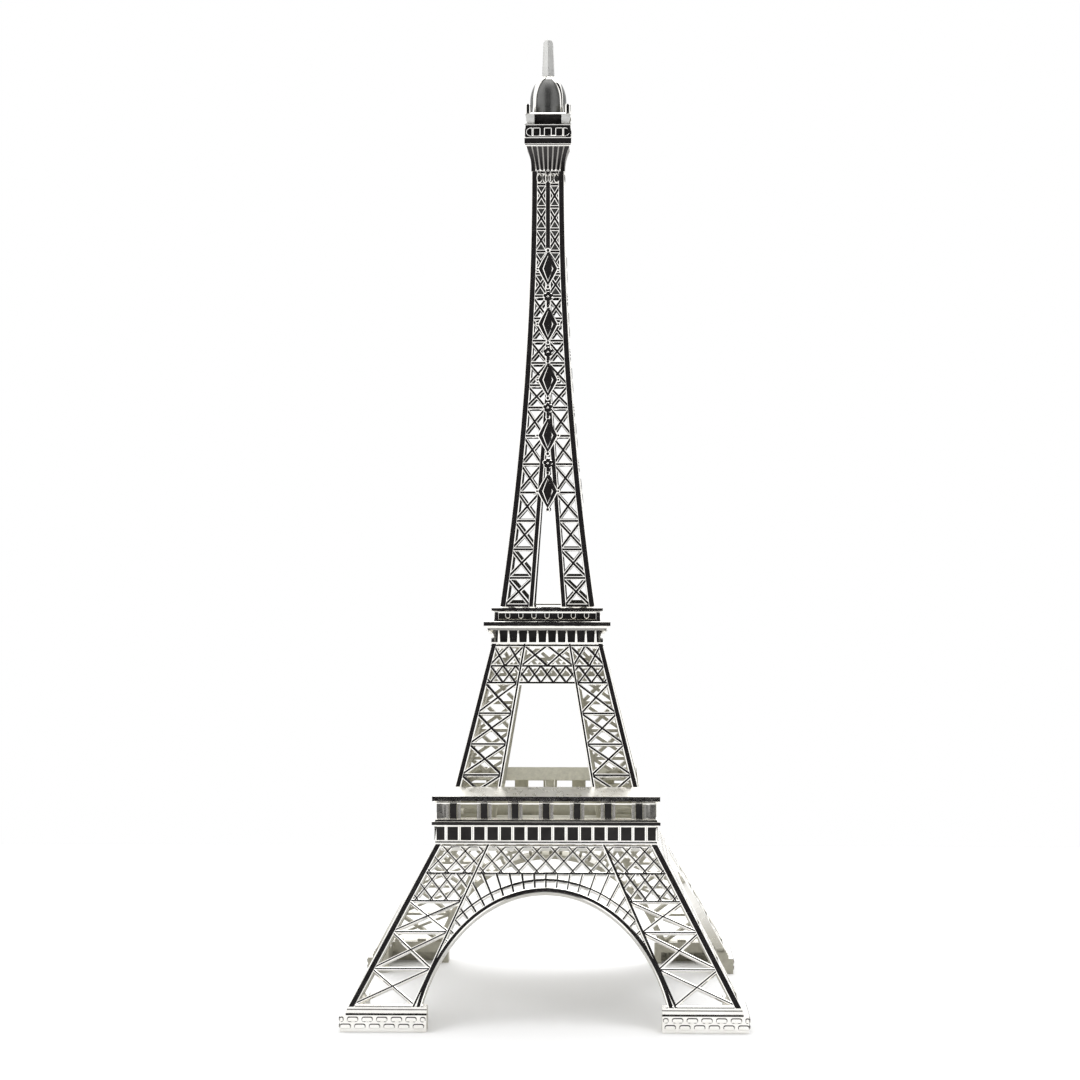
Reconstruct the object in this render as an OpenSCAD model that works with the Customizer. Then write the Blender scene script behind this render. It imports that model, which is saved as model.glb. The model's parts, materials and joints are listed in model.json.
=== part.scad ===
// Miniature lattice tower, a plated die-cast table souvenir.
// Z is up, the origin is the centre of the footprint on the table, and the front faces -Y.
// The four sides are alike, so every part is drawn at the front or about the centre and turned.

/* [Feet] */
// Half width of the tower over its feet
foot_half = 64.4; // [64:0.1:65.5]
// Length of each arm of an L-shaped foot
foot_arm = 27.5; // [27:0.1:28.5]
// Height of the brickwork of a foot
brick_h = 5.3; // [5:0.1:5.9]
// Height of the smooth slab above the brickwork
slab_h = 2.2; // [2:0.05:2.5]
// Step of the slab behind the brickwork
slab_step = 2; // [1.5:0.1:2.4]
// Wall thickness of the hollow foot
foot_wall = 2.4; // [2:0.1:2.8]
// Width of the shelf that carries the legs
shelf_w = 7.6; // [7.3:0.1:8.2]
// Bricks in one course of one arm
bricks = 6; // [4:1:7]

/* [Lower stage] */
// Height of the lower stage above the feet
lower_h = 47.8; // [47:0.05:48.6]
// Half width of the lower stage at its bottom
lower_bottom = 61.8; // [61.4:0.1:61.9]
// Half width of the lower stage at its top
lower_top = 35.9; // [35.5:0.1:36]
// Thickness of the edge bars, measured across the casting
frame_t = 3; // [2.6:0.1:3.2]
// Thickness of the lattice bars
web_t = 1.6; // [1.2:0.1:2]
// Width of the corner bars
corner_w = 2.2; // [1.8:0.1:2.6]
// Width of the lattice bars
lattice_w = 0.9; // [0.7:0.05:1.1]
// Half width of the arch, an ellipse along the slope
arch_half = 40.7; // [40.2:0.1:41]
// Half height of that ellipse
arch_rise = 54.8; // [53.5:0.1:56]
// Width of the heavy arch rib
arch_w = 1.7; // [1.4:0.1:2]
// Radial gap between the heavy rib and the light rib
arch_gap = 2.1; // [1.9:0.1:2.5]

/* [First floor] */
// Half width of the frieze
frieze_half = 36.1; // [36:0.1:36.4]
// Height of the frieze
frieze_h = 7.4; // [7.2:0.1:7.6]
// Square panels on each side of the frieze
panels = 17; // [9:2:19]
// Half width of the gallery wall
gallery_half = 35.4; // [35.2:0.1:35.6]
// Height of the gallery, floor and header included
gallery_h = 5.9; // [5.6:0.1:6.2]
// Pilasters on each side of the gallery
pilasters = 7; // [5:2:7]
// Distance between pilasters
pilaster_pitch = 10; // [9.5:0.1:10]
// Half width of the roof edge
roof_half = 36.8; // [36.6:0.1:37.2]
// Height of the roof ring
roof_h = 4.6; // [4.2:0.1:5]

/* [Middle stage] */
// Height of the middle stage, from the gallery floor up
middle_h = 55.3; // [54:0.1:56]
// Half width of the middle stage at its top
middle_top = 18.4; // [18:0.1:18.6]
// Inward run of the middle stage for each unit of height
middle_slope = 0.249; // [0.24:0.001:0.255]
// Thickness of the edge bars of the middle stage
middle_t = 2.4; // [2:0.1:2.6]

/* [Second floor] */
// Half width of the second floor slab
deck_half = 20.8; // [20.4:0.1:21.2]
// Height of the corbel ring
corbel_h = 6; // [5.6:0.1:6.4]
// Brackets on each side of the corbel ring
brackets = 11; // [7:2:11]
// Half width of the small gallery
small_half = 17.5; // [17.2:0.1:17.8]
// Height of the small gallery
small_h = 3.3; // [3:0.1:3.6]
// Half width of the upper deck
upper_half = 18.3; // [18:0.1:18.6]

/* [Spire] */
// Half width of the spire at its foot
spire_bottom = 15.7; // [15.2:0.1:15.9]
// Half width of the spire at its neck
spire_top = 5.4; // [5.1:0.1:5.6]
// How sharply the spire curves in
spire_curve = 2; // [1.7:0.05:2.2]
// Height of the wide cells of the spire
wide_cell = 9.4; // [9:0.1:9.6]
// Number of wide cells
wide_cells = 7; // [7:1:7]
// Height of the narrow cells above them
narrow_cell = 7.42; // [7.2:0.02:7.5]
// Number of narrow cells
narrow_cells = 10; // [9:1:10]
// Height of the low cell at the neck
neck_cell = 4.4; // [3.8:0.1:5]
// Cells with a closed back, counted down from the neck
blind_cells = 6; // [1:1:8]
// Half width of the gap between the legs of the spire at its foot
spire_gap = 5.4; // [5:0.05:5.6]
// Thickness of the spire castings
spire_t = 1.5; // [1.3:0.1:1.6]
// Plain lozenge ornaments up each side of the spire
ornaments = 5; // [3:1:5]

/* [Crown] */
// Half width of the cabin
cabin_half = 7.76; // [7.6:0.02:7.9]
// Height of the flared capital
capital_h = 8.75; // [8.2:0.05:9.2]
// Height of the cabin
cabin_h = 6.8; // [6.4:0.1:7.2]
// Height of the upper cabin
upper_cabin_h = 3.6; // [3.4:0.1:4]
// Radius of the dome
dome_r = 6.1; // [5.9:0.05:6.2]
// Height of the dome
dome_h = 13; // [12.6:0.1:13.4]
// Height of the mast above the dome
mast_h = 12.25; // [11.8:0.05:13]

/* [Hidden] */
$fn = 48;

plate = "silver";
steel = "lightslategray";

// Seam left between neighbouring castings, and clearance of a tenon in its slot
seam = 0.02;
slot_gap = 0.1;
// Size of a tenon: width along the casting, and thickness
tenon_w = 3;
tenon_t = 1.2;
// Screws: shank radius, head radius and head height
screw_r = 1;
head_r = 1.7;
head_h = 1.2;
// Long enough to cut right through anything
far = 200;

// Levels of the stages
lower_z0 = brick_h + slab_h;
lower_z1 = lower_z0 + lower_h;
gallery_z = lower_z1 + frieze_h;
floor_t = 1;
middle_z0 = gallery_z + floor_t;
roof_z = gallery_z + gallery_h;
middle_z1 = middle_z0 + middle_h;
deck_z = middle_z1 + corbel_h;
deck_t = 1.5;
small_z = deck_z + deck_t;
upper_z = small_z + small_h;
upper_t = 1.4;
spire_z0 = upper_z + upper_t;
spire_z1 = spire_z0 + wide_cell * wide_cells + narrow_cell * narrow_cells + neck_cell;
cabin_z = spire_z1 + capital_h;
upper_cabin_z = cabin_z + cabin_h;
dome_z = upper_cabin_z + upper_cabin_h;
mast_z = dome_z + dome_h;

// Slope of the lower stage, and the two stages' outlines
lower_slope = (lower_bottom - lower_top) / lower_h;
middle_bottom = middle_top + middle_slope * middle_h;
function lower_half(z) = lower_bottom - (z - lower_z0) * lower_slope;
function middle_half(z) = middle_bottom - (z - middle_z0) * middle_slope;

// A point of the lower or middle casting, from its distance from the centre and its true height
function on_lower(x, z) = [x, (z - lower_z0) * norm([1, lower_slope])];
function on_middle(x, z) = [x, (z - middle_z0) * norm([1, middle_slope])];

// Inner bars of the legs of the lower stage: their top stands this far from the centre
lower_inner_top = 18.6;
lower_inner_bottom = 41.2;
function lower_inner(z) =
    lower_inner_bottom - (z - lower_z0) * (lower_inner_bottom - lower_inner_top) / lower_h;
// Heights of the leg rails and of the girder above the arch
leg_rails = [for (share = [0, 0.232, 0.457, 0.648]) lower_z0 + share * lower_h];
girder_z = lower_z0 + 0.82 * lower_h;
// Height of the arch's crown along the slope, above the stage's bottom
arch_crown = 38.15;
// The struts above the arch point at this height along the slope, at this many degrees apart
strut_centre = -5.4;
strut_step = 4.45;

// Inner bars of the legs of the middle stage
middle_inner_top = 7.4;
middle_inner_run = 0.1725;
function middle_inner(z) = middle_inner_top + (middle_z1 - z) * middle_inner_run;
// Rails of the middle stage: under the large crosses, under the small lattice, then leg cells
cross_z = middle_z1 - 7.1;
truss_z = middle_z1 - 12.5;
middle_cell = 9.85;
middle_cells = 4;

// Outline of the spire, and the heights of its rails
function spire_half(z) =
    spire_top + (spire_bottom - spire_top)
        * pow(max(0, 1 - (z - spire_z0) / (spire_z1 - spire_z0)), spire_curve);
function rail_z(i) =
    spire_z0 + min(i, wide_cells) * wide_cell
        + min(max(0, i - wide_cells), narrow_cells) * narrow_cell
        + max(0, i - wide_cells - narrow_cells) * neck_cell;
spire_cells = wide_cells + narrow_cells + 1;
blind_z = rail_z(spire_cells - blind_cells);
// The legs of the spire meet in the first narrow cell
meet_z = rail_z(wide_cells + 1);
function spire_inner(z) = spire_gap * max(0, 1 - (z - spire_z0) / (meet_z - spire_z0));
spire_bar = 1.4;
spire_web = 0.8;
blind_t = 0.6;
ornament_pitch = 18.5;
ornament_z = spire_z0 + 38;

// ------------------------------------------------------------------ shared shapes

// A flat bar between two points
module bar(from, to, w) {
    run = to - from;
    translate(from) rotate(atan2(run[1], run[0])) translate([-w / 4, -w / 2])
        square([norm(run) + w / 2, w]);
}

// The four sides of the tower, counted from the front
module side(i) {
    rotate([0, 0, 90 * i]) children();
}

module each_side() {
    for (i = [0:3]) side(i) children();
}

// The quarter of space in front of the two diagonals, in which one side's casting stays
module mitre(z0, z1) {
    translate([0, -seam, z0]) linear_extrude(z1 - z0) polygon([[0, 0], [-far, -far], [far, -far]]);
}

// A moulding whose section is the same on all four sides, with true mitred corners
module four_square(z0, z1) {
    intersection() {
        rotate([90, 0, 0]) translate([0, 0, -far / 2]) linear_extrude(far) children();
        rotate([90, 0, 90]) translate([0, 0, -far / 2]) linear_extrude(far) children();
        translate([-far / 2, -far / 2, z0]) cube([far, far, z1 - z0]);
    }
}

// A square block on the tower's axis
module block(half, z0, z1) {
    translate([-half, -half, z0]) cube([2 * half, 2 * half, z1 - z0]);
}

// A square outline around a face, half_w to each side and from height z0 to z1
module plate_2d(half_w, z0, z1) {
    translate([-half_w, z0]) square([2 * half_w, z1 - z0]);
}

// A flat shape drawn at the front, x across and y up, made into a plate ending at depth y1
module front_plate(y0, y1) {
    translate([0, y1, 0]) rotate([90, 0, 0]) linear_extrude(y1 - y0) children();
}

// Tilts a flat casting onto its slope, with its outer face through half0 at height z0
module on_slope(half0, z0, slope) {
    translate([0, -half0, z0]) rotate([90 - atan(slope), 0, 0]) children();
}

// A row of tenons, or with a gap of slots, across a casting
module tenons(places, y, z0, z1, gap = 0) {
    for (x = places)
        translate([x - tenon_w / 2 - gap, y - tenon_t / 2 - gap, z0])
            cube([tenon_w + 2 * gap, tenon_t + 2 * gap, z1 - z0]);
}

// A plain screw standing with its head below
module screw(z0, length) {
    translate([0, 0, z0 - head_h]) cylinder(r = head_r, h = head_h);
    translate([0, 0, z0 - 0.1]) cylinder(r = screw_r, h = length + 0.1);
}

// ------------------------------------------------------------------ feet

foot_inner = foot_half - foot_arm;
slab_half = foot_half - slab_step;
foot_tenons = [lower_inner_bottom + 5.5, lower_bottom - 7];
foot_tenon_y = -(lower_bottom - frame_t * norm([1, lower_slope]) / 2);
brick_pitch = foot_arm / bricks;
brick_relief = 0.35;
brick_gap = 0.8;

// One brick with round ends
module brick_2d(w, h) {
    r = h * 0.4;
    translate([r, 0]) square([w - 2 * r, h]);
    translate([0, r]) square([w, h - 2 * r]);
    for (x = [r, w - r], y = [r, h - r]) translate([x, y]) circle(r);
}

// Two courses of bricks, the upper one half a brick along
module courses_2d() {
    course_h = (brick_h - 3 * brick_gap) / 2;
    intersection() {
        square([foot_arm - 0.4, brick_h]);
        union() {
            for (i = [0:bricks - 1]) {
                translate([i * brick_pitch + brick_gap / 2, brick_gap])
                    brick_2d(brick_pitch - brick_gap, course_h);
                translate([(i + 0.5) * brick_pitch + brick_gap / 2, course_h + 2 * brick_gap])
                    brick_2d(brick_pitch - brick_gap, course_h);
            }
            translate([0, course_h + 2 * brick_gap])
                brick_2d(brick_pitch / 2 - brick_gap / 2, course_h);
        }
    }
}

// An L in plan whose corner is the tower's corner at the front right
module angle_2d(outer, width) {
    difference() {
        translate([foot_inner, -outer]) square([outer - foot_inner, outer - foot_inner]);
        translate([foot_inner - 1, -outer + width])
            square([outer - foot_inner + 1 - width, outer - foot_inner]);
    }
}

module foot_arm_front() {
    // Outer wall, end wall and brickwork
    front_plate(-foot_half + brick_relief, -foot_half + foot_wall)
        translate([foot_inner, 0]) square([foot_half - brick_relief - foot_inner, brick_h]);
    front_plate(-foot_half + brick_relief, -foot_half + shelf_w)
        translate([foot_inner, 0]) square([foot_wall, brick_h]);
    front_plate(-foot_half, -foot_half + foot_wall)
        translate([foot_inner + 0.2, 0]) courses_2d();
}

module foot() {
    difference() {
        union() {
            foot_arm_front();
            mirror([1, 1, 0]) foot_arm_front();
            translate([0, 0, brick_h - 1.4]) linear_extrude(1.4)
                angle_2d(foot_half - brick_relief, shelf_w);
            translate([0, 0, brick_h]) linear_extrude(slab_h)
                angle_2d(slab_half, shelf_w - slab_step);
        }
        tenons(foot_tenons, foot_tenon_y, brick_h - 2, lower_z0 + 1, slot_gap);
        mirror([1, 1, 0]) tenons(foot_tenons, foot_tenon_y, brick_h - 2, lower_z0 + 1, slot_gap);
    }
}

module foot_front_right() {
    color(plate) foot();
}

module foot_rear_right() {
    color(plate) side(1) foot();
}

module foot_rear_left() {
    color(plate) side(2) foot();
}

module foot_front_left() {
    color(plate) side(3) foot();
}

// ------------------------------------------------------------------ lower stage

module lower_outline_2d() {
    polygon([
        on_lower(-lower_bottom, lower_z0), on_lower(lower_bottom, lower_z0),
        on_lower(lower_top, lower_z1), on_lower(-lower_top, lower_z1)
    ]);
}

// A point of the arch's ellipse, moved out by a distance square to it; angles from the crown
function arch_point(a, out) =
    let (across = [arch_rise * sin(a), arch_half * cos(a)])
    [arch_half * sin(a), arch_crown - arch_rise * (1 - cos(a))] + out * across / norm(across);

// The area under a curve that runs beside the arch
module under_arch_2d(out) {
    polygon([for (i = [-32:32]) arch_point(i * 3.4, out)]);
}

module arch_ring_2d(out, w) {
    difference() {
        under_arch_2d(out + w);
        under_arch_2d(out);
    }
}

// Between the corner bar and the inner bar of the right leg, below the girder
module leg_field_2d() {
    polygon([
        on_lower(lower_inner(lower_z0), lower_z0), on_lower(lower_half(lower_z0), lower_z0),
        on_lower(lower_half(girder_z), girder_z), on_lower(lower_inner(girder_z), girder_z)
    ]);
}

// Between the two inner bars, above the arch and below the girder
module spandrel_field_2d() {
    difference() {
        polygon([
            on_lower(-lower_inner(lower_z0), lower_z0), on_lower(lower_inner(lower_z0), lower_z0),
            on_lower(lower_inner(girder_z), girder_z), on_lower(-lower_inner(girder_z), girder_z)
        ]);
        under_arch_2d(arch_w / 2);
    }
}

// Diagonals crossing at points 2 * step_x apart at height z
module lower_diamonds_2d(z, step_x, step_z, first_x, count, z0, z1) {
    for (i = [0:count - 1], lean = [-1, 1]) {
        x = first_x + 2 * step_x * i;
        bar(on_lower(x + lean * (z0 - z) * step_x / step_z, z0),
            on_lower(x + lean * (z1 - z) * step_x / step_z, z1), lattice_w * 0.85);
    }
}

module leg_lattice_2d() {
    intersection() {
        leg_field_2d();
        union() {
            for (i = [0:2]) {
                low = leg_rails[i];
                high = leg_rails[i + 1];
                bar(on_lower(lower_half(low), low), on_lower(lower_inner(high), high), lattice_w);
                bar(on_lower(lower_inner(low), low), on_lower(lower_half(high), high), lattice_w);
                bar(on_lower(lower_inner(high), high), on_lower(lower_half(high), high), lattice_w);
            }
            lower_diamonds_2d(41.95, 2.36, 2.75, 20, 7, leg_rails[3], girder_z);
        }
    }
}

module girder_2d() {
    bar(on_lower(-lower_half(girder_z), girder_z), on_lower(lower_half(girder_z), girder_z),
        lattice_w);
    girder_step = 2.89;
    girder_mid = girder_z + 3.6;
    lower_diamonds_2d(girder_mid, girder_step, girder_step, -16 * girder_step, 17,
        girder_z, lower_z1);
}

module spandrel_2d() {
    intersection() {
        spandrel_field_2d();
        translate([0, strut_centre]) for (i = [-11:11])
            rotate(-i * strut_step) translate([-lattice_w / 2, 0]) square([lattice_w, far / 3]);
    }
    intersection() {
        spandrel_field_2d();
        arch_ring_2d(arch_w + arch_gap, lattice_w);
    }
}

// The heavy outline: corner bars, inner bars, arch rib, top rail and foot rails
module lower_frame_2d() {
    for (s = [-1, 1]) {
        bar(on_lower(s * (lower_bottom - corner_w / 2), lower_z0),
            on_lower(s * (lower_top - corner_w / 2), lower_z1), corner_w);
        bar(on_lower(s * lower_inner_bottom, lower_z0), on_lower(s * lower_inner_top, lower_z1),
            lattice_w);
        bar(on_lower(s * (lower_inner_bottom - 3), lower_z0 + 0.4),
            on_lower(s * lower_bottom, lower_z0 + 0.4), 1);
    }
    bar(on_lower(-lower_top, lower_z1 - 0.4), on_lower(lower_top, lower_z1 - 0.4), 1);
    arch_ring_2d(0, arch_w);
}

lower_top_y = -(lower_top - frame_t * norm([1, lower_slope]) / 2);
frieze_tenons = [-24, -8, 8, 24];

module lower_face() {
    intersection() {
        on_slope(lower_bottom, lower_z0, lower_slope) {
            translate([0, 0, -web_t]) linear_extrude(web_t) intersection() {
                lower_outline_2d();
                union() {
                    lower_frame_2d();
                    girder_2d();
                    spandrel_2d();
                    leg_lattice_2d();
                    mirror([1, 0]) leg_lattice_2d();
                }
            }
            translate([0, 0, -frame_t]) linear_extrude(frame_t - web_t + 0.05) intersection() {
                lower_outline_2d();
                lower_frame_2d();
            }
        }
        mitre(lower_z0, lower_z1);
    }
    tenons([for (s = [-1, 1], x = foot_tenons) s * x], foot_tenon_y,
        brick_h - 1.4, lower_z0 + 0.3);
    tenons(frieze_tenons, lower_top_y, lower_z1 - 1, lower_z1 + floor_t);
}

module lower_face_front() {
    color(plate) lower_face();
}

module lower_face_right() {
    color(plate) side(1) lower_face();
}

module lower_face_rear() {
    color(plate) side(2) lower_face();
}

module lower_face_left() {
    color(plate) side(3) lower_face();
}

// ------------------------------------------------------------------ first floor

frieze_wall = 1.8;
ledge_z = lower_z1 + 0.9;
panel_z0 = lower_z1 + 1.3;
panel_z1 = lower_z1 + 5.6;
panel_pitch = 2 * (frieze_half + 0.55) / panels;
panel_gap = 0.9;
cornice_half = frieze_half + 0.8;
cornice_z = gallery_z - 1.2;
screw_y = -(gallery_half - 3.2);
boss_r = 1.7;

module frieze_panels() {
    front_plate(-frieze_half - 1, -frieze_half + 0.6)
        for (i = [0:panels - 1])
            intersection() {
                translate([(i - panels / 2) * panel_pitch + panel_gap / 2, panel_z0])
                    square([panel_pitch - panel_gap, panel_z1 - panel_z0]);
                plate_2d(frieze_half - 0.3, panel_z0, panel_z1);
            }
}

module first_floor_frieze() {
    color(plate) difference() {
        union() {
            block(frieze_half, lower_z1, cornice_z);
            block(cornice_half, cornice_z, gallery_z);
        }
        block(frieze_half - frieze_wall, lower_z1 + floor_t, gallery_z - floor_t);
        block(lower_top - 4.6, lower_z1 - 1, lower_z1 + floor_t + 1);
        block(gallery_half - 5, gallery_z - floor_t - 1, gallery_z + 1);
        // A thin groove under the panels
        difference() {
            block(frieze_half + 1, lower_z1 + 0.45, ledge_z);
            block(frieze_half - 0.25, lower_z1, ledge_z + 1);
        }
        each_side() {
            frieze_panels();
            tenons(frieze_tenons, lower_top_y, lower_z1 - 1, lower_z1 + floor_t + 1, slot_gap);
            translate([0, screw_y, gallery_z - 2]) cylinder(r = screw_r + 0.1, h = 3);
        }
    }
}

header_z = roof_z - 0.6;
sill_z = middle_z0 + 0.5;
gallery_wall = 1.5;
pilaster_w = 4.2;
middle_foot_y = -(middle_bottom - middle_t * norm([1, middle_slope]) / 2);
middle_feet = [-26, -21, 21, 26];

module pilaster() {
    translate([-pilaster_w / 2, -gallery_half, middle_z0 - 0.1])
        cube([pilaster_w, gallery_wall, header_z - middle_z0 + 0.2]);
    // The raised shaft between two flutes
    translate([-pilaster_w / 5, -gallery_half - 0.3, middle_z0 + 0.1])
        cube([pilaster_w * 0.4, 1, header_z - middle_z0 - 0.2]);
}

module first_floor_gallery() {
    color(plate) difference() {
        union() {
            difference() {
                block(gallery_half + 0.5, gallery_z, middle_z0);
                block(middle_bottom - 4.4, gallery_z - 1, middle_z0 + 1);
            }
            difference() {
                block(gallery_half, middle_z0 - 0.1, sill_z);
                block(gallery_half - gallery_wall, middle_z0 - 1, sill_z + 1);
            }
            difference() {
                block(gallery_half, header_z, roof_z);
                block(gallery_half - gallery_wall, header_z - 1, roof_z + 1);
            }
            each_side() {
                for (i = [0:pilasters - 1])
                    translate([(i - (pilasters - 1) / 2) * pilaster_pitch, 0, 0]) pilaster();
                // Plain panel at the corner
                translate([gallery_half - 1.6, -gallery_half, middle_z0 - 0.1])
                    cube([1.6, 3.4, header_z - middle_z0 + 0.2]);
                translate([-gallery_half, -gallery_half, middle_z0 - 0.1])
                    cube([3.4, gallery_wall, header_z - middle_z0 + 0.2]);
            }
        }
        each_side() {
            tenons(middle_feet, middle_foot_y, gallery_z - 1, middle_z0 + 1, slot_gap);
            translate([0, screw_y, gallery_z - 1]) cylinder(r = screw_r + 0.1, h = 3);
        }
    }
}

roof_clear = 0.15;

module first_floor_roof() {
    inner_low = middle_half(roof_z) + roof_clear;
    inner_high = middle_half(roof_z + roof_h) + roof_clear;
    color(plate) difference() {
        union() {
            difference() {
                four_square(roof_z, roof_z + roof_h) polygon([
                    [-gallery_half - 0.2, roof_z], [gallery_half + 0.2, roof_z],
                    [roof_half, roof_z + 0.7], [roof_half, roof_z + 2.2],
                    [inner_high, roof_z + roof_h], [-inner_high, roof_z + roof_h],
                    [-roof_half, roof_z + 2.2], [-roof_half, roof_z + 0.7]
                ]);
                four_square(roof_z - 1, roof_z + roof_h + 1) polygon([
                    [-inner_low - middle_slope, roof_z - 1], [inner_low + middle_slope, roof_z - 1],
                    [inner_high - middle_slope, roof_z + roof_h + 1],
                    [-inner_high + middle_slope, roof_z + roof_h + 1]
                ]);
            }
            // Screw bosses that reach down to the gallery floor
            each_side() intersection() {
                translate([0, screw_y, middle_z0]) cylinder(r = boss_r, h = gallery_h - floor_t + 1);
                translate([-5, -gallery_half + gallery_wall + seam, middle_z0])
                    cube([10, gallery_half - gallery_wall - inner_low, gallery_h + 1]);
            }
        }
        each_side() translate([0, screw_y, middle_z0 - 1]) cylinder(r = screw_r, h = 6.2);
    }
}

module first_floor_screws() {
    color(steel) each_side() translate([0, screw_y, 0])
        screw(gallery_z - floor_t, floor_t * 2 + 4.6);
}

// ------------------------------------------------------------------ middle stage

module middle_outline_2d() {
    polygon([
        on_middle(-middle_bottom, middle_z0), on_middle(middle_bottom, middle_z0),
        on_middle(middle_top, middle_z1), on_middle(-middle_top, middle_z1)
    ]);
}

// One cross between the two edges at the heights low and high; a and b are shares of the way
// from the inner bar to the corner bar
module middle_cross_2d(low, high, a, b, w) {
    function across(z, share) = middle_inner(z) + share * (middle_half(z) - 1 - middle_inner(z));
    bar(on_middle(across(low, a), low), on_middle(across(high, b), high), w);
    bar(on_middle(across(low, b), low), on_middle(across(high, a), high), w);
}

module middle_leg_2d() {
    w = lattice_w * 0.85;
    middle_cross_2d(cross_z, middle_z1, 0, 0.5, w);
    middle_cross_2d(cross_z, middle_z1, 0.5, 1, w);
    for (i = [0:middle_cells - 1]) {
        high = truss_z - i * middle_cell;
        low = high - middle_cell;
        middle_cross_2d(low, high, 0, 1, w);
        bar(on_middle(middle_inner(low), low), on_middle(middle_half(low), low), w);
    }
}

// Two large crosses between the inner bars, and the small lattice right across under them
module middle_truss_2d() {
    w = lattice_w * 0.85;
    for (s = [-1, 1]) {
        bar(on_middle(0, middle_z1), on_middle(s * middle_inner(cross_z), cross_z), w);
        bar(on_middle(0, cross_z), on_middle(s * middle_inner(middle_z1), middle_z1), w);
    }
    for (z = [cross_z, truss_z])
        bar(on_middle(-middle_half(z), z), on_middle(middle_half(z), z), w);
    step = 2.07;
    for (i = [-5:5], lean = [-1, 1])
        bar(on_middle((2 * i - lean) * step, truss_z), on_middle((2 * i + lean) * step, cross_z),
            w * 0.85);
}

module middle_frame_2d() {
    for (s = [-1, 1]) {
        bar(on_middle(s * (middle_bottom - corner_w * 0.4), middle_z0),
            on_middle(s * (middle_top - corner_w * 0.4), middle_z1), corner_w * 0.8);
        bar(on_middle(s * middle_inner(middle_z0), middle_z0),
            on_middle(s * middle_inner(middle_z1), middle_z1), lattice_w);
        bar(on_middle(s * middle_inner(middle_z0), middle_z0 + 0.4),
            on_middle(s * middle_bottom, middle_z0 + 0.4), 1);
    }
    bar(on_middle(-middle_top, middle_z1 - 0.4), on_middle(middle_top, middle_z1 - 0.4), 1);
}

middle_top_y = -(middle_top - middle_t * norm([1, middle_slope]) / 2);
corbel_tenons = [-11, 11];

module middle_face() {
    intersection() {
        on_slope(middle_bottom, middle_z0, middle_slope) {
            translate([0, 0, -web_t]) linear_extrude(web_t) intersection() {
                middle_outline_2d();
                union() {
                    middle_frame_2d();
                    middle_truss_2d();
                    middle_leg_2d();
                    mirror([1, 0]) middle_leg_2d();
                }
            }
            translate([0, 0, -middle_t]) linear_extrude(middle_t - web_t + 0.05) intersection() {
                middle_outline_2d();
                middle_frame_2d();
            }
        }
        mitre(middle_z0, middle_z1);
    }
    tenons(middle_feet, middle_foot_y, gallery_z, middle_z0 + 0.3);
    tenons(corbel_tenons, middle_top_y, middle_z1 - 0.8, middle_z1 + floor_t);
}

module middle_face_front() {
    color(plate) middle_face();
}

module middle_face_right() {
    color(plate) side(1) middle_face();
}

module middle_face_rear() {
    color(plate) side(2) middle_face();
}

module middle_face_left() {
    color(plate) side(3) middle_face();
}

// ------------------------------------------------------------------ second floor

bay_z0 = middle_z1 + 0.6;
bay_z1 = middle_z1 + 4.5;
bracket_pitch = 3.18;
bracket_w = 0.75;
corbel_back = middle_top - 1.3;
corbel_wall = 1.2;
deck_screw = 12;
deck_screw_hole = screw_r + 0.1;

module deck_screw_places() {
    for (x = [-deck_screw, deck_screw], y = [-deck_screw, deck_screw])
        translate([x, y, 0]) children();
}

// Section of the corbel ring: upright below, then a hollow curve out to the slab
module corbel_section_2d() {
    reach = deck_half - 0.9;
    curve = 2.2;
    difference() {
        plate_2d(reach, middle_z1, deck_z);
        for (s = [-1, 1]) {
            translate([s * (middle_top + curve), bay_z1 - curve]) circle(curve);
            translate([s * (middle_top + far / 2), bay_z1 - curve - far / 2])
                square(far, center = true);
        }
    }
}

module second_floor_corbels() {
    color(plate) difference() {
        four_square(middle_z1, deck_z) corbel_section_2d();
        block(corbel_back - corbel_wall, middle_z1 + floor_t, bay_z1);
        block(middle_top - 4, middle_z1 - 1, middle_z1 + floor_t + 1);
        block(8, bay_z1 - 1, deck_z + 1);
        each_side() {
            for (i = [0:brackets])
                translate([(i - (brackets + 1) / 2) * bracket_pitch + bracket_w / 2,
                        -deck_half, bay_z0])
                    cube([bracket_pitch - bracket_w, deck_half - corbel_back, bay_z1 - bay_z0]);
            tenons(corbel_tenons, middle_top_y, middle_z1 - 1, middle_z1 + floor_t + 1, slot_gap);
        }
        deck_screw_places() translate([0, 0, bay_z1 - 1]) cylinder(r = deck_screw_hole, h = 4);
    }
}

module second_floor_slab() {
    color(plate) difference() {
        four_square(deck_z, small_z) polygon([
            [-deck_half + 0.3, deck_z], [deck_half - 0.3, deck_z],
            [deck_half, deck_z + 0.3], [deck_half, small_z - 0.2],
            [deck_half - 0.2, small_z], [-deck_half + 0.2, small_z],
            [-deck_half, small_z - 0.2], [-deck_half, deck_z + 0.3]
        ]);
        block(8, deck_z - 1, small_z + 1);
        deck_screw_places() translate([0, 0, deck_z - 1]) cylinder(r = deck_screw_hole, h = 4);
    }
}

window_pitch = 4.33;

// A U-shaped rim around a small window
module window_rim_2d(w, h, rim) {
    difference() {
        union() {
            circle(w / 2);
            translate([-w / 2, 0]) square([w, h - w / 2]);
        }
        circle(w / 2 - rim);
        translate([-w / 2 + rim, 0]) square([w - 2 * rim, h]);
    }
}

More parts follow.
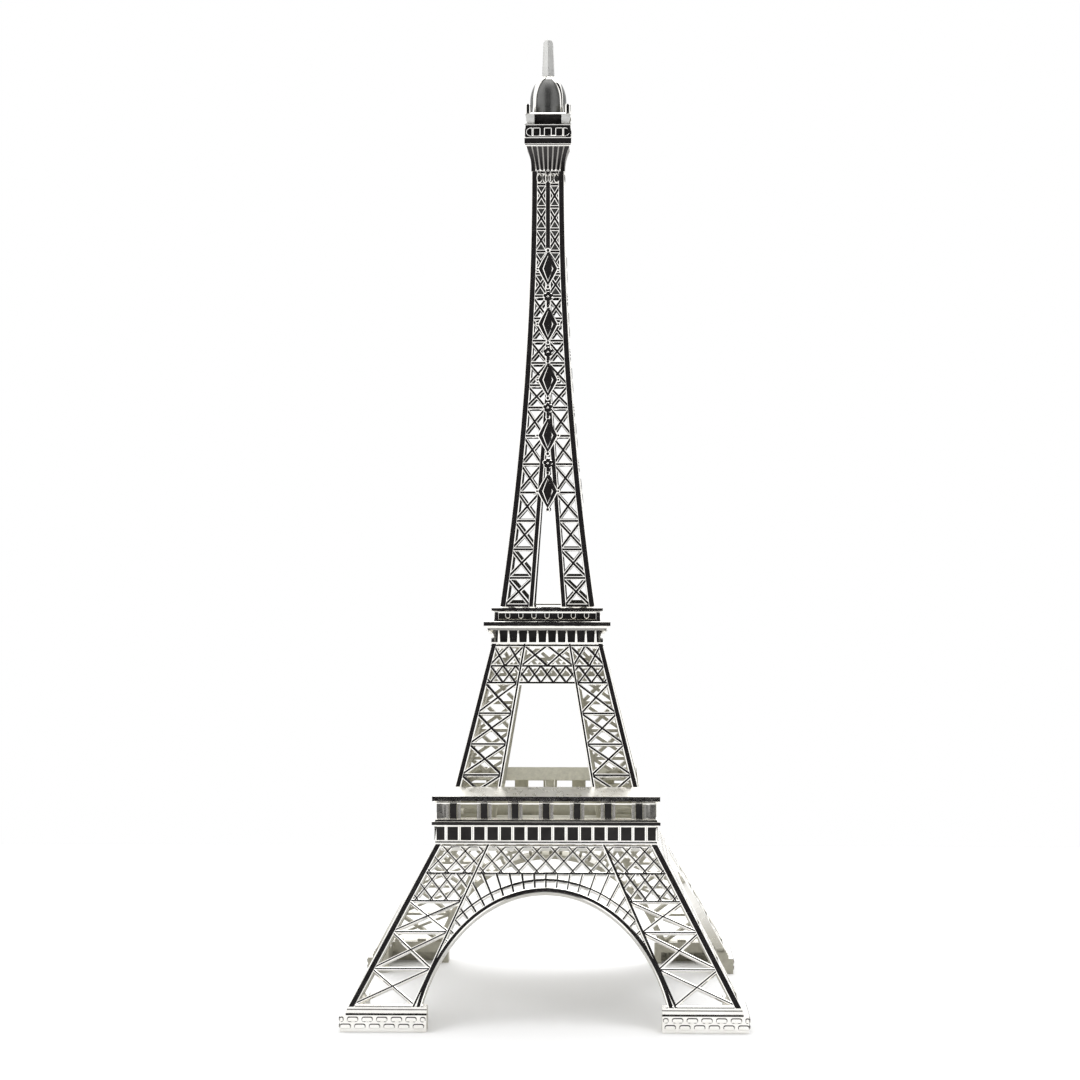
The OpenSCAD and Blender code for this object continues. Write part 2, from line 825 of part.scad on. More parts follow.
module second_floor_gallery() {
    color(plate) difference() {
        union() {
            difference() {
                block(small_half, small_z, upper_z);
                block(small_half - 1.6, small_z + floor_t, upper_z + 1);
                difference() {
                    block(small_half + 1, small_z + 0.6, upper_z - 0.7);
                    block(small_half - 0.5, small_z, upper_z);
                }
            }
            each_side() {
                front_plate(-small_half + 0.15, -small_half + 1)
                    for (i = [-3:3])
                        translate([i * window_pitch, small_z + 1.45]) window_rim_2d(1.6, 2, 0.3);
                translate([small_half - 1.6, -small_half, small_z + 0.3])
                    cube([1.6, 1.6, small_h - 0.6]);
            }
        }
        block(8, small_z - 1, small_z + floor_t + 1);
        deck_screw_places() translate([0, 0, small_z - 1]) cylinder(r = deck_screw_hole, h = 3);
    }
}

spire_foot_y = -(spire_bottom - 0.8);
spire_feet = [-9.5, 9.5];

module upper_deck() {
    color(plate) difference() {
        union() {
            four_square(upper_z, spire_z0) polygon([
                [-upper_half + 0.2, upper_z], [upper_half - 0.2, upper_z],
                [upper_half, upper_z + 0.2], [upper_half, upper_z + 1],
                [upper_half - 0.9, spire_z0], [-upper_half + 0.9, spire_z0],
                [-upper_half, upper_z + 1], [-upper_half, upper_z + 0.2]
            ]);
            deck_screw_places() translate([0, 0, small_z + floor_t])
                cylinder(r = boss_r + 0.3, h = small_h - floor_t + 0.3);
        }
        block(5, upper_z - 1, spire_z0 + 1);
        deck_screw_places() translate([0, 0, small_z]) cylinder(r = screw_r, h = small_h + 0.9);
        each_side() tenons(spire_feet, spire_foot_y, upper_z - 1, spire_z0 + 1, slot_gap);
    }
}

module second_floor_screws() {
    color(steel) deck_screw_places() screw(bay_z1, deck_z - bay_z1 + deck_t + small_h + 0.6);
}

// ------------------------------------------------------------------ spire

// Curved sheet from height z0 to the neck, t0 to t1 behind the outer face of the spire
module spire_sheet(t0, t1, z0) {
    steps = 2 * spire_cells;
    heights = [for (i = [0:steps]) z0 + (spire_z1 - z0) * i / steps];
    rotate([90, 0, 90]) translate([0, 0, -spire_bottom - 1])
        linear_extrude(2 * spire_bottom + 2) polygon(concat(
            [for (z = heights) [-spire_half(z) + t0, z]],
            [for (i = [0:steps]) [-spire_half(heights[steps - i]) + t1, heights[steps - i]]]
        ));
}

module spire_bars_2d(w) {
    for (i = [0:spire_cells - 1]) {
        low = rail_z(i);
        high = rail_z(i + 1);
        bar([spire_half(low) - w / 2, low], [spire_half(high) - w / 2, high], w);
        bar([spire_inner(low), low], [spire_inner(high), high], w * 0.9);
    }
}

module spire_web_2d() {
    for (i = [0:spire_cells - 1]) {
        low = rail_z(i);
        high = rail_z(i + 1);
        bar([spire_inner(low), low], [spire_half(high) - spire_bar / 2, high], spire_web);
        bar([spire_half(low) - spire_bar / 2, low], [spire_inner(high), high], spire_web);
        bar([spire_inner(low), low], [spire_half(low) - spire_bar / 2, low], spire_web);
    }
    bar([0, spire_z1 - 0.3], [spire_half(spire_z1), spire_z1 - 0.3], spire_web);
}

// A plain pointed plaque with a ball at each point
module lozenge_2d() {
    reach = 5.4;
    width = 3;
    polygon([[0, -reach], [width, 0], [0, reach], [-width, 0]]);
    for (s = [-1, 1]) translate([0, s * (reach + 0.3)]) circle(0.9);
    for (s = [-1, 1]) translate([s * width, 0]) circle(0.7);
}

// A flower of five petals and the short stem under it
module rosette_2d() {
    for (i = [0:4]) rotate(72 * i) translate([0, 0.75]) circle(0.62);
    translate([-0.5, -2.6]) square([1, 2.6]);
}

// Raised work on the centre line of a spire face, with its middle at height z
module on_spire(z) {
    slope = (spire_half(z - 3) - spire_half(z + 3)) / 6;
    on_slope(spire_half(z), z, slope) translate([0, 0, -1]) linear_extrude(1.25) children();
}

module spire_ornaments() {
    intersection() {
        union() {
            for (i = [0:ornaments - 1])
                on_spire(ornament_z + i * ornament_pitch) lozenge_2d();
            for (i = [0:ornaments - 2])
                on_spire(ornament_z + (i + 0.5) * ornament_pitch) rosette_2d();
        }
        mitre(spire_z0, spire_z1);
    }
}

module spire_face() {
    intersection() {
        union() {
            intersection() {
                rotate([90, 0, 0]) linear_extrude(spire_bottom + 1) union() {
                    spire_bars_2d(spire_bar);
                    mirror([1, 0]) spire_bars_2d(spire_bar);
                    spire_web_2d();
                    mirror([1, 0]) spire_web_2d();
                }
                spire_sheet(0, spire_t, spire_z0);
            }
            // Near the neck the cells are sunk in a closed sheet
            spire_sheet(spire_t - blind_t, spire_t, blind_z);
        }
        mitre(spire_z0, spire_z1);
    }
    spire_ornaments();
    tenons(spire_feet, spire_foot_y, upper_z, spire_z0 + 0.3);
}

module spire_face_front() {
    color(plate) spire_face();
}

module spire_face_right() {
    color(plate) side(1) spire_face();
}

module spire_face_rear() {
    color(plate) side(2) spire_face();
}

module spire_face_left() {
    color(plate) side(3) spire_face();
}

// ------------------------------------------------------------------ crown

capital_low = spire_top + 0.15;
capital_top = 6.95;
neck_h = 1;
capital_run = capital_top - capital_low;
capital_curve = (pow(capital_h - neck_h, 2) + pow(capital_run, 2)) / (2 * capital_run);
ribs = 7;
spigot = spire_top - spire_t - 0.25;

// Section of the capital: an upright neck, then a hollow curve out to the cabin
module capital_section_2d(inset) {
    translate([0, spire_z1]) difference() {
        plate_2d(cabin_half - 0.2 - inset, 0, capital_h);
        for (s = [-1, 1]) {
            translate([s * (capital_low - inset + capital_curve), neck_h])
                circle(capital_curve, $fn = 96);
            translate([s * (capital_low - inset + far / 2), 0])
                square([far, 2 * neck_h], center = true);
        }
    }
}

module spire_capital() {
    color(plate) difference() {
        union() {
            four_square(spire_z1, cabin_z) capital_section_2d(0.4);
            block(cabin_half - 0.2, cabin_z - 0.6, cabin_z);
            block(spigot, spire_z1 - 4, spire_z1 + 1);
            // Ribs that fan out up each side, between two broad corner bars
            each_side() intersection() {
                four_square(spire_z1, cabin_z) capital_section_2d(0);
                mitre(spire_z1, cabin_z);
                front_plate(-cabin_half, 0) {
                    for (i = [0:ribs - 1]) {
                        share = 2 * i / (ribs - 1) - 1;
                        bar([share * (capital_low - 1.7), spire_z1],
                            [share * (capital_top - 2), cabin_z], 0.5);
                    }
                    for (s = [-1, 1])
                        bar([s * (capital_low - 0.6), spire_z1],
                            [s * (capital_top - 0.6), cabin_z], 1.2);
                }
            }
        }
        translate([0, 0, spire_z1 - 5]) cylinder(r = screw_r + 0.1, h = capital_h + 6);
        translate([0, 0, spire_z1 - 5]) cylinder(r = head_r + 0.15, h = 5 + head_h);
    }
}

cabin_window_z = cabin_z + 2.9;
cabin_window_h = 2.2;
cabin_window_pitch = 3.75;
cabin_ledge = 0.5;

module cabin_window_2d(grow) {
    half = 1.1 + grow;
    translate([-half, -grow]) square([2 * half, cabin_window_h + 2 * grow]);
}

module cabin_end_window_2d(grow) {
    r = cabin_window_h / 2 + grow;
    translate([0, cabin_window_h / 2]) difference() {
        circle(r);
        translate([r / 2 - 2 * r, -r]) square([r, 2 * r]);
    }
}

module cabin_windows_2d(grow) {
    translate([0, cabin_window_z]) {
        for (i = [-1:1]) translate([i * cabin_window_pitch, 0]) cabin_window_2d(grow);
        for (s = [0, 1]) mirror([s, 0]) translate([5.9, 0]) cabin_end_window_2d(grow);
    }
}

module top_cabin() {
    color(plate) difference() {
        union() {
            block(cabin_half - 0.25, cabin_z, upper_cabin_z);
            block(cabin_half, cabin_z, cabin_z + 2.2);
            block(cabin_half, upper_cabin_z - cabin_ledge, upper_cabin_z);
            each_side() front_plate(-cabin_half, -cabin_half + 1) difference() {
                cabin_windows_2d(0.35);
                cabin_windows_2d(0);
            }
        }
        each_side() front_plate(-cabin_half - 1, -cabin_half + 0.9) cabin_windows_2d(0);
        translate([0, 0, cabin_z - 1]) cylinder(r = screw_r + 0.1, h = cabin_h + 2);
    }
}

turret_w = 2.1;
turret_h = 3;
slot_depth = 0.8;

module upper_cabin() {
    rim_z = dome_z - 0.5;
    color(plate) difference() {
        union() {
            block(4.6, upper_cabin_z, dome_z);
            block(cabin_half - 0.1, rim_z, dome_z);
            each_side() {
                translate([4.5, -cabin_half + 0.2, upper_cabin_z])
                    cube([cabin_half - 4.7, cabin_half - 4.7, upper_cabin_h]);
                // Corner turret with a slot in each outer face
                translate([cabin_half - turret_w - 0.1, -cabin_half + 0.1, dome_z]) difference() {
                    cube([turret_w, turret_w, turret_h]);
                    translate([0.7, -1, 0.6]) cube([0.7, slot_depth + 1, turret_h - 1.2]);
                    translate([turret_w - slot_depth, 0.7, 0.6])
                        cube([slot_depth + 1, 0.7, turret_h - 1.2]);
                }
            }
        }
        translate([0, 0, upper_cabin_z - 1]) cylinder(r = screw_r + 0.1, h = upper_cabin_h + 2);
    }
}

dome_shoulder = 4.4;
dome_rise = dome_h - dome_shoulder;
dome_rib = 0.4;
rib_w = 1.5;
rib_flare = 0.5;
mast_pin_r = 0.8;
mast_pin_h = 4;

// The dome starts upright and closes as an ellipse: radius and height at a step of its curve
dome_steps = 14;
function dome_point(r, i) =
    [r * cos(90 * i / dome_steps), dome_shoulder + dome_rise * sin(90 * i / dome_steps)];

// Half section of the dome
module dome_section_2d() {
    polygon(concat(
        [[0, 0], [dome_r, 0]],
        [for (i = [0:dome_steps - 1]) dome_point(dome_r, i)],
        [[0, dome_h]]
    ));
}

// Half section of a rib: it stands proud of the dome and flares out at its foot
module dome_rib_2d() {
    r = dome_r + dome_rib;
    polygon(concat(
        [[0, 0], [r + rib_flare, 0], [r + rib_flare * 0.4, dome_shoulder * 0.55]],
        [for (i = [0:dome_steps - 1]) dome_point(r, i)],
        [[0, dome_h]]
    ));
}

module dome() {
    color(plate) translate([0, 0, dome_z]) difference() {
        union() {
            rotate_extrude() dome_section_2d();
            // Four broad ribs on the diagonals, and the collar where they meet under the mast
            for (k = [0:3]) rotate([90, 0, 90 * k + 45])
                translate([0, 0, -rib_w / 2]) linear_extrude(rib_w) dome_rib_2d();
            translate([0, 0, dome_h - 1.2]) cylinder(r1 = 3.1, r2 = 2, h = 1.2);
        }
        translate([0, 0, -1]) cylinder(r = screw_r, h = 6);
        translate([0, 0, dome_h - mast_pin_h]) cylinder(r = mast_pin_r, h = mast_pin_h + 1);
    }
}

mast_low = 2.15;
mast_high = 1.6;
mast_tip = 0.6;

module mast() {
    color(plate) translate([0, 0, mast_z]) {
        cylinder(r1 = mast_low, r2 = mast_high, h = mast_h - mast_tip, $fn = 4);
        translate([0, 0, mast_h - mast_tip])
            cylinder(r1 = mast_high, r2 = mast_high * 0.6, h = mast_tip, $fn = 4);
        translate([0, 0, -mast_pin_h]) cylinder(r = mast_pin_r, h = mast_pin_h + 1);
    }
}

module crown_screw() {
    start = spire_z1 + head_h;
    color(steel) screw(start, dome_z - start + 4.5);
}

foot_front_left();
foot_front_right();
foot_rear_right();
foot_rear_left();
lower_face_front();
lower_face_right();
lower_face_rear();
lower_face_left();
first_floor_frieze();
first_floor_gallery();
first_floor_roof();
first_floor_screws();
middle_face_front();
middle_face_right();
middle_face_rear();
middle_face_left();
second_floor_corbels();
second_floor_slab();
second_floor_gallery();
upper_deck();
second_floor_screws();
spire_face_front();
spire_face_right();
spire_face_rear();
spire_face_left();
spire_capital();
top_cabin();
upper_cabin();
dome();
mast();
crown_screw();
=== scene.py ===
"""A silver-plated die-cast miniature tower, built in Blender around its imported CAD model.

Lengths are in millimetres in the tower's own frame (Z up, front towards -Y) and become metres
when a mesh is made. The four sides are alike: each casting is built once, at the front, and
turned for the other three sides.
"""
import json
from math import cos, hypot, pi, radians, sin, sqrt

import bmesh
import bpy
from mathutils import Matrix, Vector

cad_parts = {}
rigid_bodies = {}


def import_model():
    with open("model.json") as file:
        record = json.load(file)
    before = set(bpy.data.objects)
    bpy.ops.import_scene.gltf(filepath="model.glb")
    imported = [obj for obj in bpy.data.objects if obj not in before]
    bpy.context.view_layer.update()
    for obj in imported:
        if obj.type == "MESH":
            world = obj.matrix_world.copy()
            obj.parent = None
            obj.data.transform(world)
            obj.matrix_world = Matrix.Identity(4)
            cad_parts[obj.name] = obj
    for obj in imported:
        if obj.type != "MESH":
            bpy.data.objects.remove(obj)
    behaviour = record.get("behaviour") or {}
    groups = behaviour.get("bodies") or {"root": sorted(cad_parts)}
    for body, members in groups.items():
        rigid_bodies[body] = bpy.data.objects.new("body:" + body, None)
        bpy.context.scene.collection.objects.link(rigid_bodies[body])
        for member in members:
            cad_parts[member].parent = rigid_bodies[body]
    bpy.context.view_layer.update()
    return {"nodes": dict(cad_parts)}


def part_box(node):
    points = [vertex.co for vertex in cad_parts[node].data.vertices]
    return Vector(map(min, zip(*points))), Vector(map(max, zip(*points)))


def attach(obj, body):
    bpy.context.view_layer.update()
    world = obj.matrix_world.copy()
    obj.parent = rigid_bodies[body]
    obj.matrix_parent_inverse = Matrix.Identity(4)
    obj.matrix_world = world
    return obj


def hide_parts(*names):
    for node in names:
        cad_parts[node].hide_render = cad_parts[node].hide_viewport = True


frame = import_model()
MM = 0.001
SIDES = ("front", "right", "rear", "left")


def low(node):
    """Lowest corner of a CAD node, in millimetres."""
    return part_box(node)[0] / MM


def high(node):
    """Highest corner of a CAD node, in millimetres."""
    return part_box(node)[1] / MM


# ---------------------------------------------------------------- levels and half widths

FOOT_HALF = high("foot_front_right").x
FOOT_INNER = low("foot_front_right").x
LOWER_Z0 = high("foot_front_right").z
LOWER_Z1 = low("first_floor_frieze").z
GALLERY_Z = low("first_floor_gallery").z
ROOF_Z = high("first_floor_gallery").z
MIDDLE_Z1 = low("second_floor_corbels").z
DECK_Z = high("second_floor_corbels").z
SMALL_Z = high("second_floor_slab").z
UPPER_Z = high("second_floor_gallery").z
SPIRE_Z0 = high("upper_deck").z
SPIRE_Z1 = high("spire_face_front").z
CABIN_Z = low("top_cabin").z
UPPER_CABIN_Z = high("top_cabin").z
DOME_Z = low("dome").z
MAST_Z = high("dome").z
TOP_Z = high("mast").z

FLOOR_T = 1.0
MIDDLE_Z0 = GALLERY_Z + FLOOR_T

LOWER_BOTTOM = high("lower_face_front").x
LOWER_TOP = 35.9
FRIEZE_HALF = high("first_floor_frieze").x - 0.8
CORNICE_HALF = high("first_floor_frieze").x
GALLERY_HALF = high("first_floor_gallery").x - 0.5
MIDDLE_BOTTOM = high("middle_face_front").x
MIDDLE_SLOPE = 0.249
MIDDLE_TOP = MIDDLE_BOTTOM - MIDDLE_SLOPE * (MIDDLE_Z1 - MIDDLE_Z0)
DECK_HALF = high("second_floor_slab").x
SMALL_HALF = high("second_floor_gallery").x
UPPER_HALF = high("upper_deck").x
SPIRE_BOTTOM = high("spire_face_front").x
SPIRE_TOP = 5.4
CABIN_HALF = high("top_cabin").x
DOME_R = high("dome").x


# ---------------------------------------------------------------- solids and how they join

def solid(verts, faces):
    """A closed mesh with its faces turned outwards."""
    mesh = bpy.data.meshes.new("solid")
    mesh.from_pydata([Vector(v) for v in verts], [], faces)
    build = bmesh.new()
    build.from_mesh(mesh)
    bmesh.ops.recalc_face_normals(build, faces=build.faces)
    build.to_mesh(mesh)
    build.free()
    return mesh


def sweep(rings):
    """A solid through a list of rings, each the same number of points, closed by two caps."""
    count = len(rings[0])
    verts = [p for ring in rings for p in ring]
    faces = [list(range(count))]
    faces.append([len(verts) - 1 - i for i in range(count)])
    for k in range(len(rings) - 1):
        a = k * count
        for i in range(count):
            j = (i + 1) % count
            faces.append([a + i, a + j, a + count + j, a + count + i])
    return solid(verts, faces)


def loop_sweep(rings):
    """A solid like a closed ring, through a list of rings that runs back to the first."""
    count = len(rings[0])
    verts = [p for ring in rings for p in ring]
    faces = []
    for k in range(len(rings)):
        a = k * count
        b = (k + 1) % len(rings) * count
        for i in range(count):
            j = (i + 1) % count
            faces.append([a + i, a + j, b + j, b + i])
    return solid(verts, faces)


def soft_box(lo, hi, radius):
    """A box with rounded edges."""
    lo, hi = Vector(lo), Vector(hi)
    build = bmesh.new()
    bmesh.ops.create_cube(build, size=1)
    bmesh.ops.transform(
        build,
        matrix=Matrix.Translation((lo + hi) / 2) @ Matrix.Diagonal((*(hi - lo), 1)),
        verts=build.verts,
    )
    if radius:
        bmesh.ops.bevel(
            build, geom=build.edges[:], offset=radius, segments=2, profile=0.5, affect="EDGES",
        )
    mesh = bpy.data.meshes.new("box")
    build.to_mesh(mesh)
    build.free()
    return mesh


def plain_box(lo, hi):
    return soft_box(lo, hi, 0)


def moved(mesh, matrix):
    """A copy of a mesh put through a matrix, which may mirror it."""
    copy = mesh.copy()
    copy.transform(matrix)
    if matrix.is_negative:
        copy.flip_normals()
    return copy


def turned(mesh, quarter):
    """A copy of a mesh turned by quarter turns about the tower's axis."""
    return moved(mesh, Matrix.Rotation(quarter * pi / 2, 4, "Z"))


def four_sides(meshes):
    return [turned(m, k) for m in meshes for k in range(4)]


def mirrored(mesh):
    """A copy of a mesh mirrored left to right."""
    return moved(mesh, Matrix.Diagonal((-1, 1, 1, 1)))


def with_modifier(mesh, kind, **settings):
    """What a mesh becomes under one modifier."""
    holder = bpy.data.objects.new("holder", mesh)
    bpy.context.scene.collection.objects.link(holder)
    modifier = holder.modifiers.new("modifier", kind)
    for key, setting in settings.items():
        setattr(modifier, key, setting)
    graph = bpy.context.evaluated_depsgraph_get()
    result = bpy.data.meshes.new_from_object(holder.evaluated_get(graph))
    bpy.data.objects.remove(holder)
    return result


def boolean(mesh, others, operation):
    """Joins, cuts or intersects one mesh with many, as closed solids."""
    if not others:
        return mesh
    operands = bpy.data.collections.new("operands")
    bpy.context.scene.collection.children.link(operands)
    for other in others:
        operands.objects.link(bpy.data.objects.new("operand", other))
    result = with_modifier(mesh, "BOOLEAN", operation=operation, operand_type="COLLECTION",
                           collection=operands, solver="MANIFOLD")
    for operand in list(operands.objects):
        bpy.data.objects.remove(operand)
    bpy.data.collections.remove(operands)
    return result


def union(meshes):
    return boolean(meshes[0], meshes[1:], "UNION")


def mitre_wedge(seam=0.02):
    """The quarter of space in front of both diagonals, in which one side's casting stays."""
    reach = 100.0
    plan = [(0, -seam), (-reach, -reach - seam), (reach, -reach - seam)]
    return sweep([[(x, y, -10) for x, y in plan], [(x, y, 400) for x, y in plan]])


def split(mesh, z):
    """Cuts the faces of a mesh along a height, so that they can be painted apart."""
    build = bmesh.new()
    build.from_mesh(mesh)
    bmesh.ops.bisect_plane(build, geom=build.verts[:] + build.edges[:] + build.faces[:],
                           plane_co=(0, 0, z), plane_no=(0, 0, 1))
    build.to_mesh(mesh)
    build.free()


def place(name, mesh, replaced, material, shade_angle=25):
    """Makes a finished mesh into a piece of the model that stands for a CAD node."""
    mesh.transform(Matrix.Scale(MM, 4))
    mesh.name = name
    mesh.materials.clear()
    mesh.materials.append(material)
    piece = bpy.data.objects.new(name, mesh)
    bpy.context.scene.collection.objects.link(piece)
    build = bmesh.new()
    build.from_mesh(mesh)
    bmesh.ops.remove_doubles(build, verts=build.verts, dist=1e-7)
    bmesh.ops.dissolve_degenerate(build, edges=build.edges, dist=1e-7)
    for face in build.faces:
        face.smooth = True
    for edge in build.edges:
        if len(edge.link_faces) == 2 and edge.calc_face_angle(0) > radians(shade_angle):
            edge.smooth = False
    build.to_mesh(mesh)
    build.free()
    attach(piece, "root")
    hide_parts(replaced)
    return piece


def reach(point):
    """How far out a point is towards the side it is nearest to."""
    return max(abs(point.x), abs(point.y))


def paint(piece, material, z0, z1, out0=-1.0, out1=100.0, chosen=None):
    """Gives another material to the faces whose middle lies from z0 to z1 and out0 to out1 out,
    and, if chosen is given, for which chosen(middle in mm, normal) holds. A face across the axis
    lies 0 out, so an out0 below 0 takes it in."""
    slots = piece.data.materials
    if material.name not in slots:
        slots.append(material)
    for face in piece.data.polygons:
        middle = face.center / MM
        if z0 < middle.z < z1 and out0 < reach(middle) < out1:
            if not chosen or chosen(middle, face.normal):
                face.material_index = slots.find(material.name)


def outward(point, normal):
    """How much a surface looks out of the side it is on: 1 straight out, 0 along it."""
    axis = 0 if abs(point.x) > abs(point.y) else 1
    return normal[axis] * (1 if point[axis] > 0 else -1)


# ---------------------------------------------------------------- sloping faces and their bars

class Face:
    """The outer surface of one side at the front: how far out it stands at each height."""

    def __init__(self, half):
        self.half = half

    def point(self, x, z):
        return Vector((x, -self.half(z), z))

    def up(self, z):
        return (self.point(0, z + 0.5) - self.point(0, z - 0.5)).normalized()

    def normal(self, z):
        return Vector((1, 0, 0)).cross(self.up(z))


def bar_section(w, depth, chamfer, fall, drop=0.0, draft=0.07):
    """Section of a cast bar: (across, out) points. Its flat is narrowed by two low chamfers."""
    h = w / 2
    return [
        (-h - draft, -depth), (h + draft, -depth), (h, -fall - drop), (h - chamfer, -drop),
        (-h + chamfer, -drop), (-h, -fall - drop),
    ]


def face_bar(face, start, end, section, extend=0.0):
    """A straight bar on a face from one (x, z) to another."""
    p, q = face.point(*start), face.point(*end)
    run = (q - p).normalized()
    normal = face.normal((start[1] + end[1]) / 2)
    normal = (normal - run * normal.dot(run)).normalized()
    across = run.cross(normal)
    p, q = p - run * extend, q + run * extend
    return sweep([[o + across * a + normal * n for a, n in section] for o in (p, q)])


def crosses(face, corners, section):
    """Two crossing bars between opposite corners (low left, low right, high left, high right)."""
    ll, lr, hl, hr = corners
    return [face_bar(face, ll, hr, section), face_bar(face, lr, hl, section)]


def tenons(places, y, z0, z1, gap=0.0):
    """Stub tenons that stand in the slots of the part above or below, or those slots."""
    half_w, half_t = 1.5 + gap, 0.6 + gap
    return [plain_box((x - half_w, y - half_t, z0), (x + half_w, y + half_t, z1)) for x in places]


def finish_face(bars, z0, z1, pegs):
    """Joins the bars of a face, trims it to its mitres and heights and adds the tenons."""
    joined = boolean(union(bars), [mitre_wedge()], "INTERSECT")
    joined = boolean(joined, [plain_box((-100, -100, z0), (100, 100, z1))], "INTERSECT")
    return union([joined, *pegs])


def clip_to_field(face, meshes, outline, depth=5):
    """Joins meshes and keeps what lies inside an outline drawn on a face."""
    normal = face.normal(outline[0][1])
    rings = [[face.point(x, z) + normal * n for x, z in outline] for n in (-depth, 1)]
    return boolean(union(meshes), [sweep(rings)], "INTERSECT")


def edge_bar(face, width, section, z0, z1, step=100.0):
    """The bar along the right-hand edge of a face, through points step apart."""
    count = max(1, round((z1 - z0) / step))
    rings = []
    for i in range(-1, count + 2):
        z = z0 + (z1 - z0) * i / count
        at = min(max(z, z0), z1)
        run = face.up(at)
        foot = face.point(face.half(at) - width / 2, at) + run * (z - at) * min(1, 4 / step)
        rings.append([foot + Vector((a, 0, 0)) + face.normal(at) * n for a, n in section])
    return sweep(rings)


# ---------------------------------------------------------------- mouldings and raised work

def square_ring(profile):
    """A square ring with mitred corners from a closed profile of (half width, height)."""
    rings = []
    for sx, sy in ((-1, -1), (1, -1), (1, 1), (-1, 1)):
        rings.append([(sx * h, sy * h, z) for h, z in profile])
    return loop_sweep(rings)


def square_tower(profile):
    """A solid square block on the axis, from (half width, height) pairs upwards."""
    return sweep([[(-h, -h, z), (h, -h, z), (h, h, z), (-h, h, z)] for h, z in profile])


def inset(outline, by):
    """An outline with every point moved by about the same distance to its middle."""
    mid = sum((Vector(p) for p in outline), Vector((0, 0))) / len(outline)
    half = [max(abs(p[i] - mid[i]) for p in outline) for i in (0, 1)]
    return [tuple(mid[i] + (p[i] - mid[i]) * (1 - by / half[i]) for i in (0, 1)) for p in outline]


def raised(outline, back, front, bevel, fall):
    """A raised shape with a bevelled edge on the front; outline in (x, z), depths along Y."""
    levels = [(outline, -back), (outline, -front + fall), (inset(outline, bevel), -front)]
    return sweep([[(x, y, z) for x, z in ring] for ring, y in levels])


def rounded(x0, x1, z0, z1, r, steps=4):
    """Outline of a rectangle with round corners."""
    points = []
    for k, (cx, cz) in enumerate(((x1 - r, z1 - r), (x0 + r, z1 - r), (x0 + r, z0 + r),
                                  (x1 - r, z0 + r))):
        for i in range(steps + 1):
            a = pi / 2 * (k + i / steps)
            points.append((cx + r * cos(a), cz + r * sin(a)))
    return points


def upright(x, section, z0, z1):
    """An upright bar at the front, from a plan section of (across, y) points."""
    return sweep([[(x + a, y, z) for a, y in section] for z in (z0, z1)])


def bevelled(mesh, width, segments=2):
    """A mesh with its sharp edges rounded off."""
    return with_modifier(mesh, "BEVEL", width=width, segments=segments, limit_method="ANGLE",
                         angle_limit=radians(30))


def circle(x, y, r, count=16):
    return [(x + r * cos(2 * pi * i / count), y + r * sin(2 * pi * i / count))
            for i in range(count)]


def cylinder(x, y, r, z0, z1):
    return sweep([[(*p, z) for p in circle(x, y, r, 24)] for z in (z0, z1)])


# ---------------------------------------------------------------- materials

def node(tree, kind, *values, out=0, **settings):
    """Adds a shader node and returns one of its outputs.

    The values go to its inputs in order: numbers and tuples are set, outputs are linked and
    None leaves an input as it is."""
    made = tree.nodes.new("ShaderNode" + kind)
    for key, setting in settings.items():
        setattr(made, key, setting)
    for socket, value in zip(made.inputs, values):
        if isinstance(value, bpy.types.NodeSocket):
            tree.links.new(value, socket)
        elif value is not None:
            socket.default_value = value
    return made.outputs[out]


def calculate(tree, operation, *values):
    return node(tree, "Math", *values, operation=operation)


def noise(tree, scale, detail, roughness=0.5):
    """A noise pattern fixed to the object."""
    where = node(tree, "TexCoord", out="Object")
    return node(tree, "TexNoise", where, None, scale, detail, roughness)


def ramp(tree, value, stops):
    """A colour ramp over (position, colour) stops."""
    made = tree.nodes.new("ShaderNodeValToRGB")
    for element, (position, colour) in zip(made.color_ramp.elements, stops):
        element.position = position
        element.color = (*colour, 1)
    tree.links.new(value, made.inputs["Fac"])
    return made.outputs["Color"]


def map_range(tree, value, from_min, from_max, to_min=0.0, to_max=1.0):
    return node(tree, "MapRange", value, from_min, from_max, to_min, to_max)


def mix_colour(tree, factor, a, b):
    made = tree.nodes.new("ShaderNodeMix")
    made.data_type = "RGBA"
    tree.links.new(factor, made.inputs["Factor"])
    for key, value in (("A", a), ("B", b)):
        if isinstance(value, tuple):
            made.inputs[key].default_value = (*value, 1)
        else:
            tree.links.new(value, made.inputs[key])
    return made.outputs["Result"]


def bump(tree, height, distance, below=None):
    made = tree.nodes.new("ShaderNodeBump")
    made.inputs["Distance"].default_value = distance * MM
    tree.links.new(height, made.inputs["Height"])
    if below:
        tree.links.new(below, made.inputs["Normal"])
    return made.outputs["Normal"]


def surface_normal(tree):
    return node(tree, "NewGeometry", out="True Normal")


def inward(tree):
    """1 on surfaces that face the tower's axis, 0 on those that face away from it."""
    position = node(tree, "NewGeometry", out="Position")
    flat = node(tree, "VectorMath", position, (1, 1, 0), operation="MULTIPLY")
    outwards = node(tree, "VectorMath", flat, operation="NORMALIZE")
    facing = node(tree, "VectorMath", surface_normal(tree), outwards, operation="DOT_PRODUCT",
                  out="Value")
    return map_range(tree, facing, -0.15, -0.45)


BRIGHT, DULL = (0.95, 0.94, 0.91), (0.86, 0.84, 0.79)
# Colours for faces that look in towards the axis: the first is painted shade, the lit one painted
# light.
BACK, LIT_BACK = (0.47, 0.45, 0.37), (0.78, 0.76, 0.64)
BACK_METALLIC = 0.35


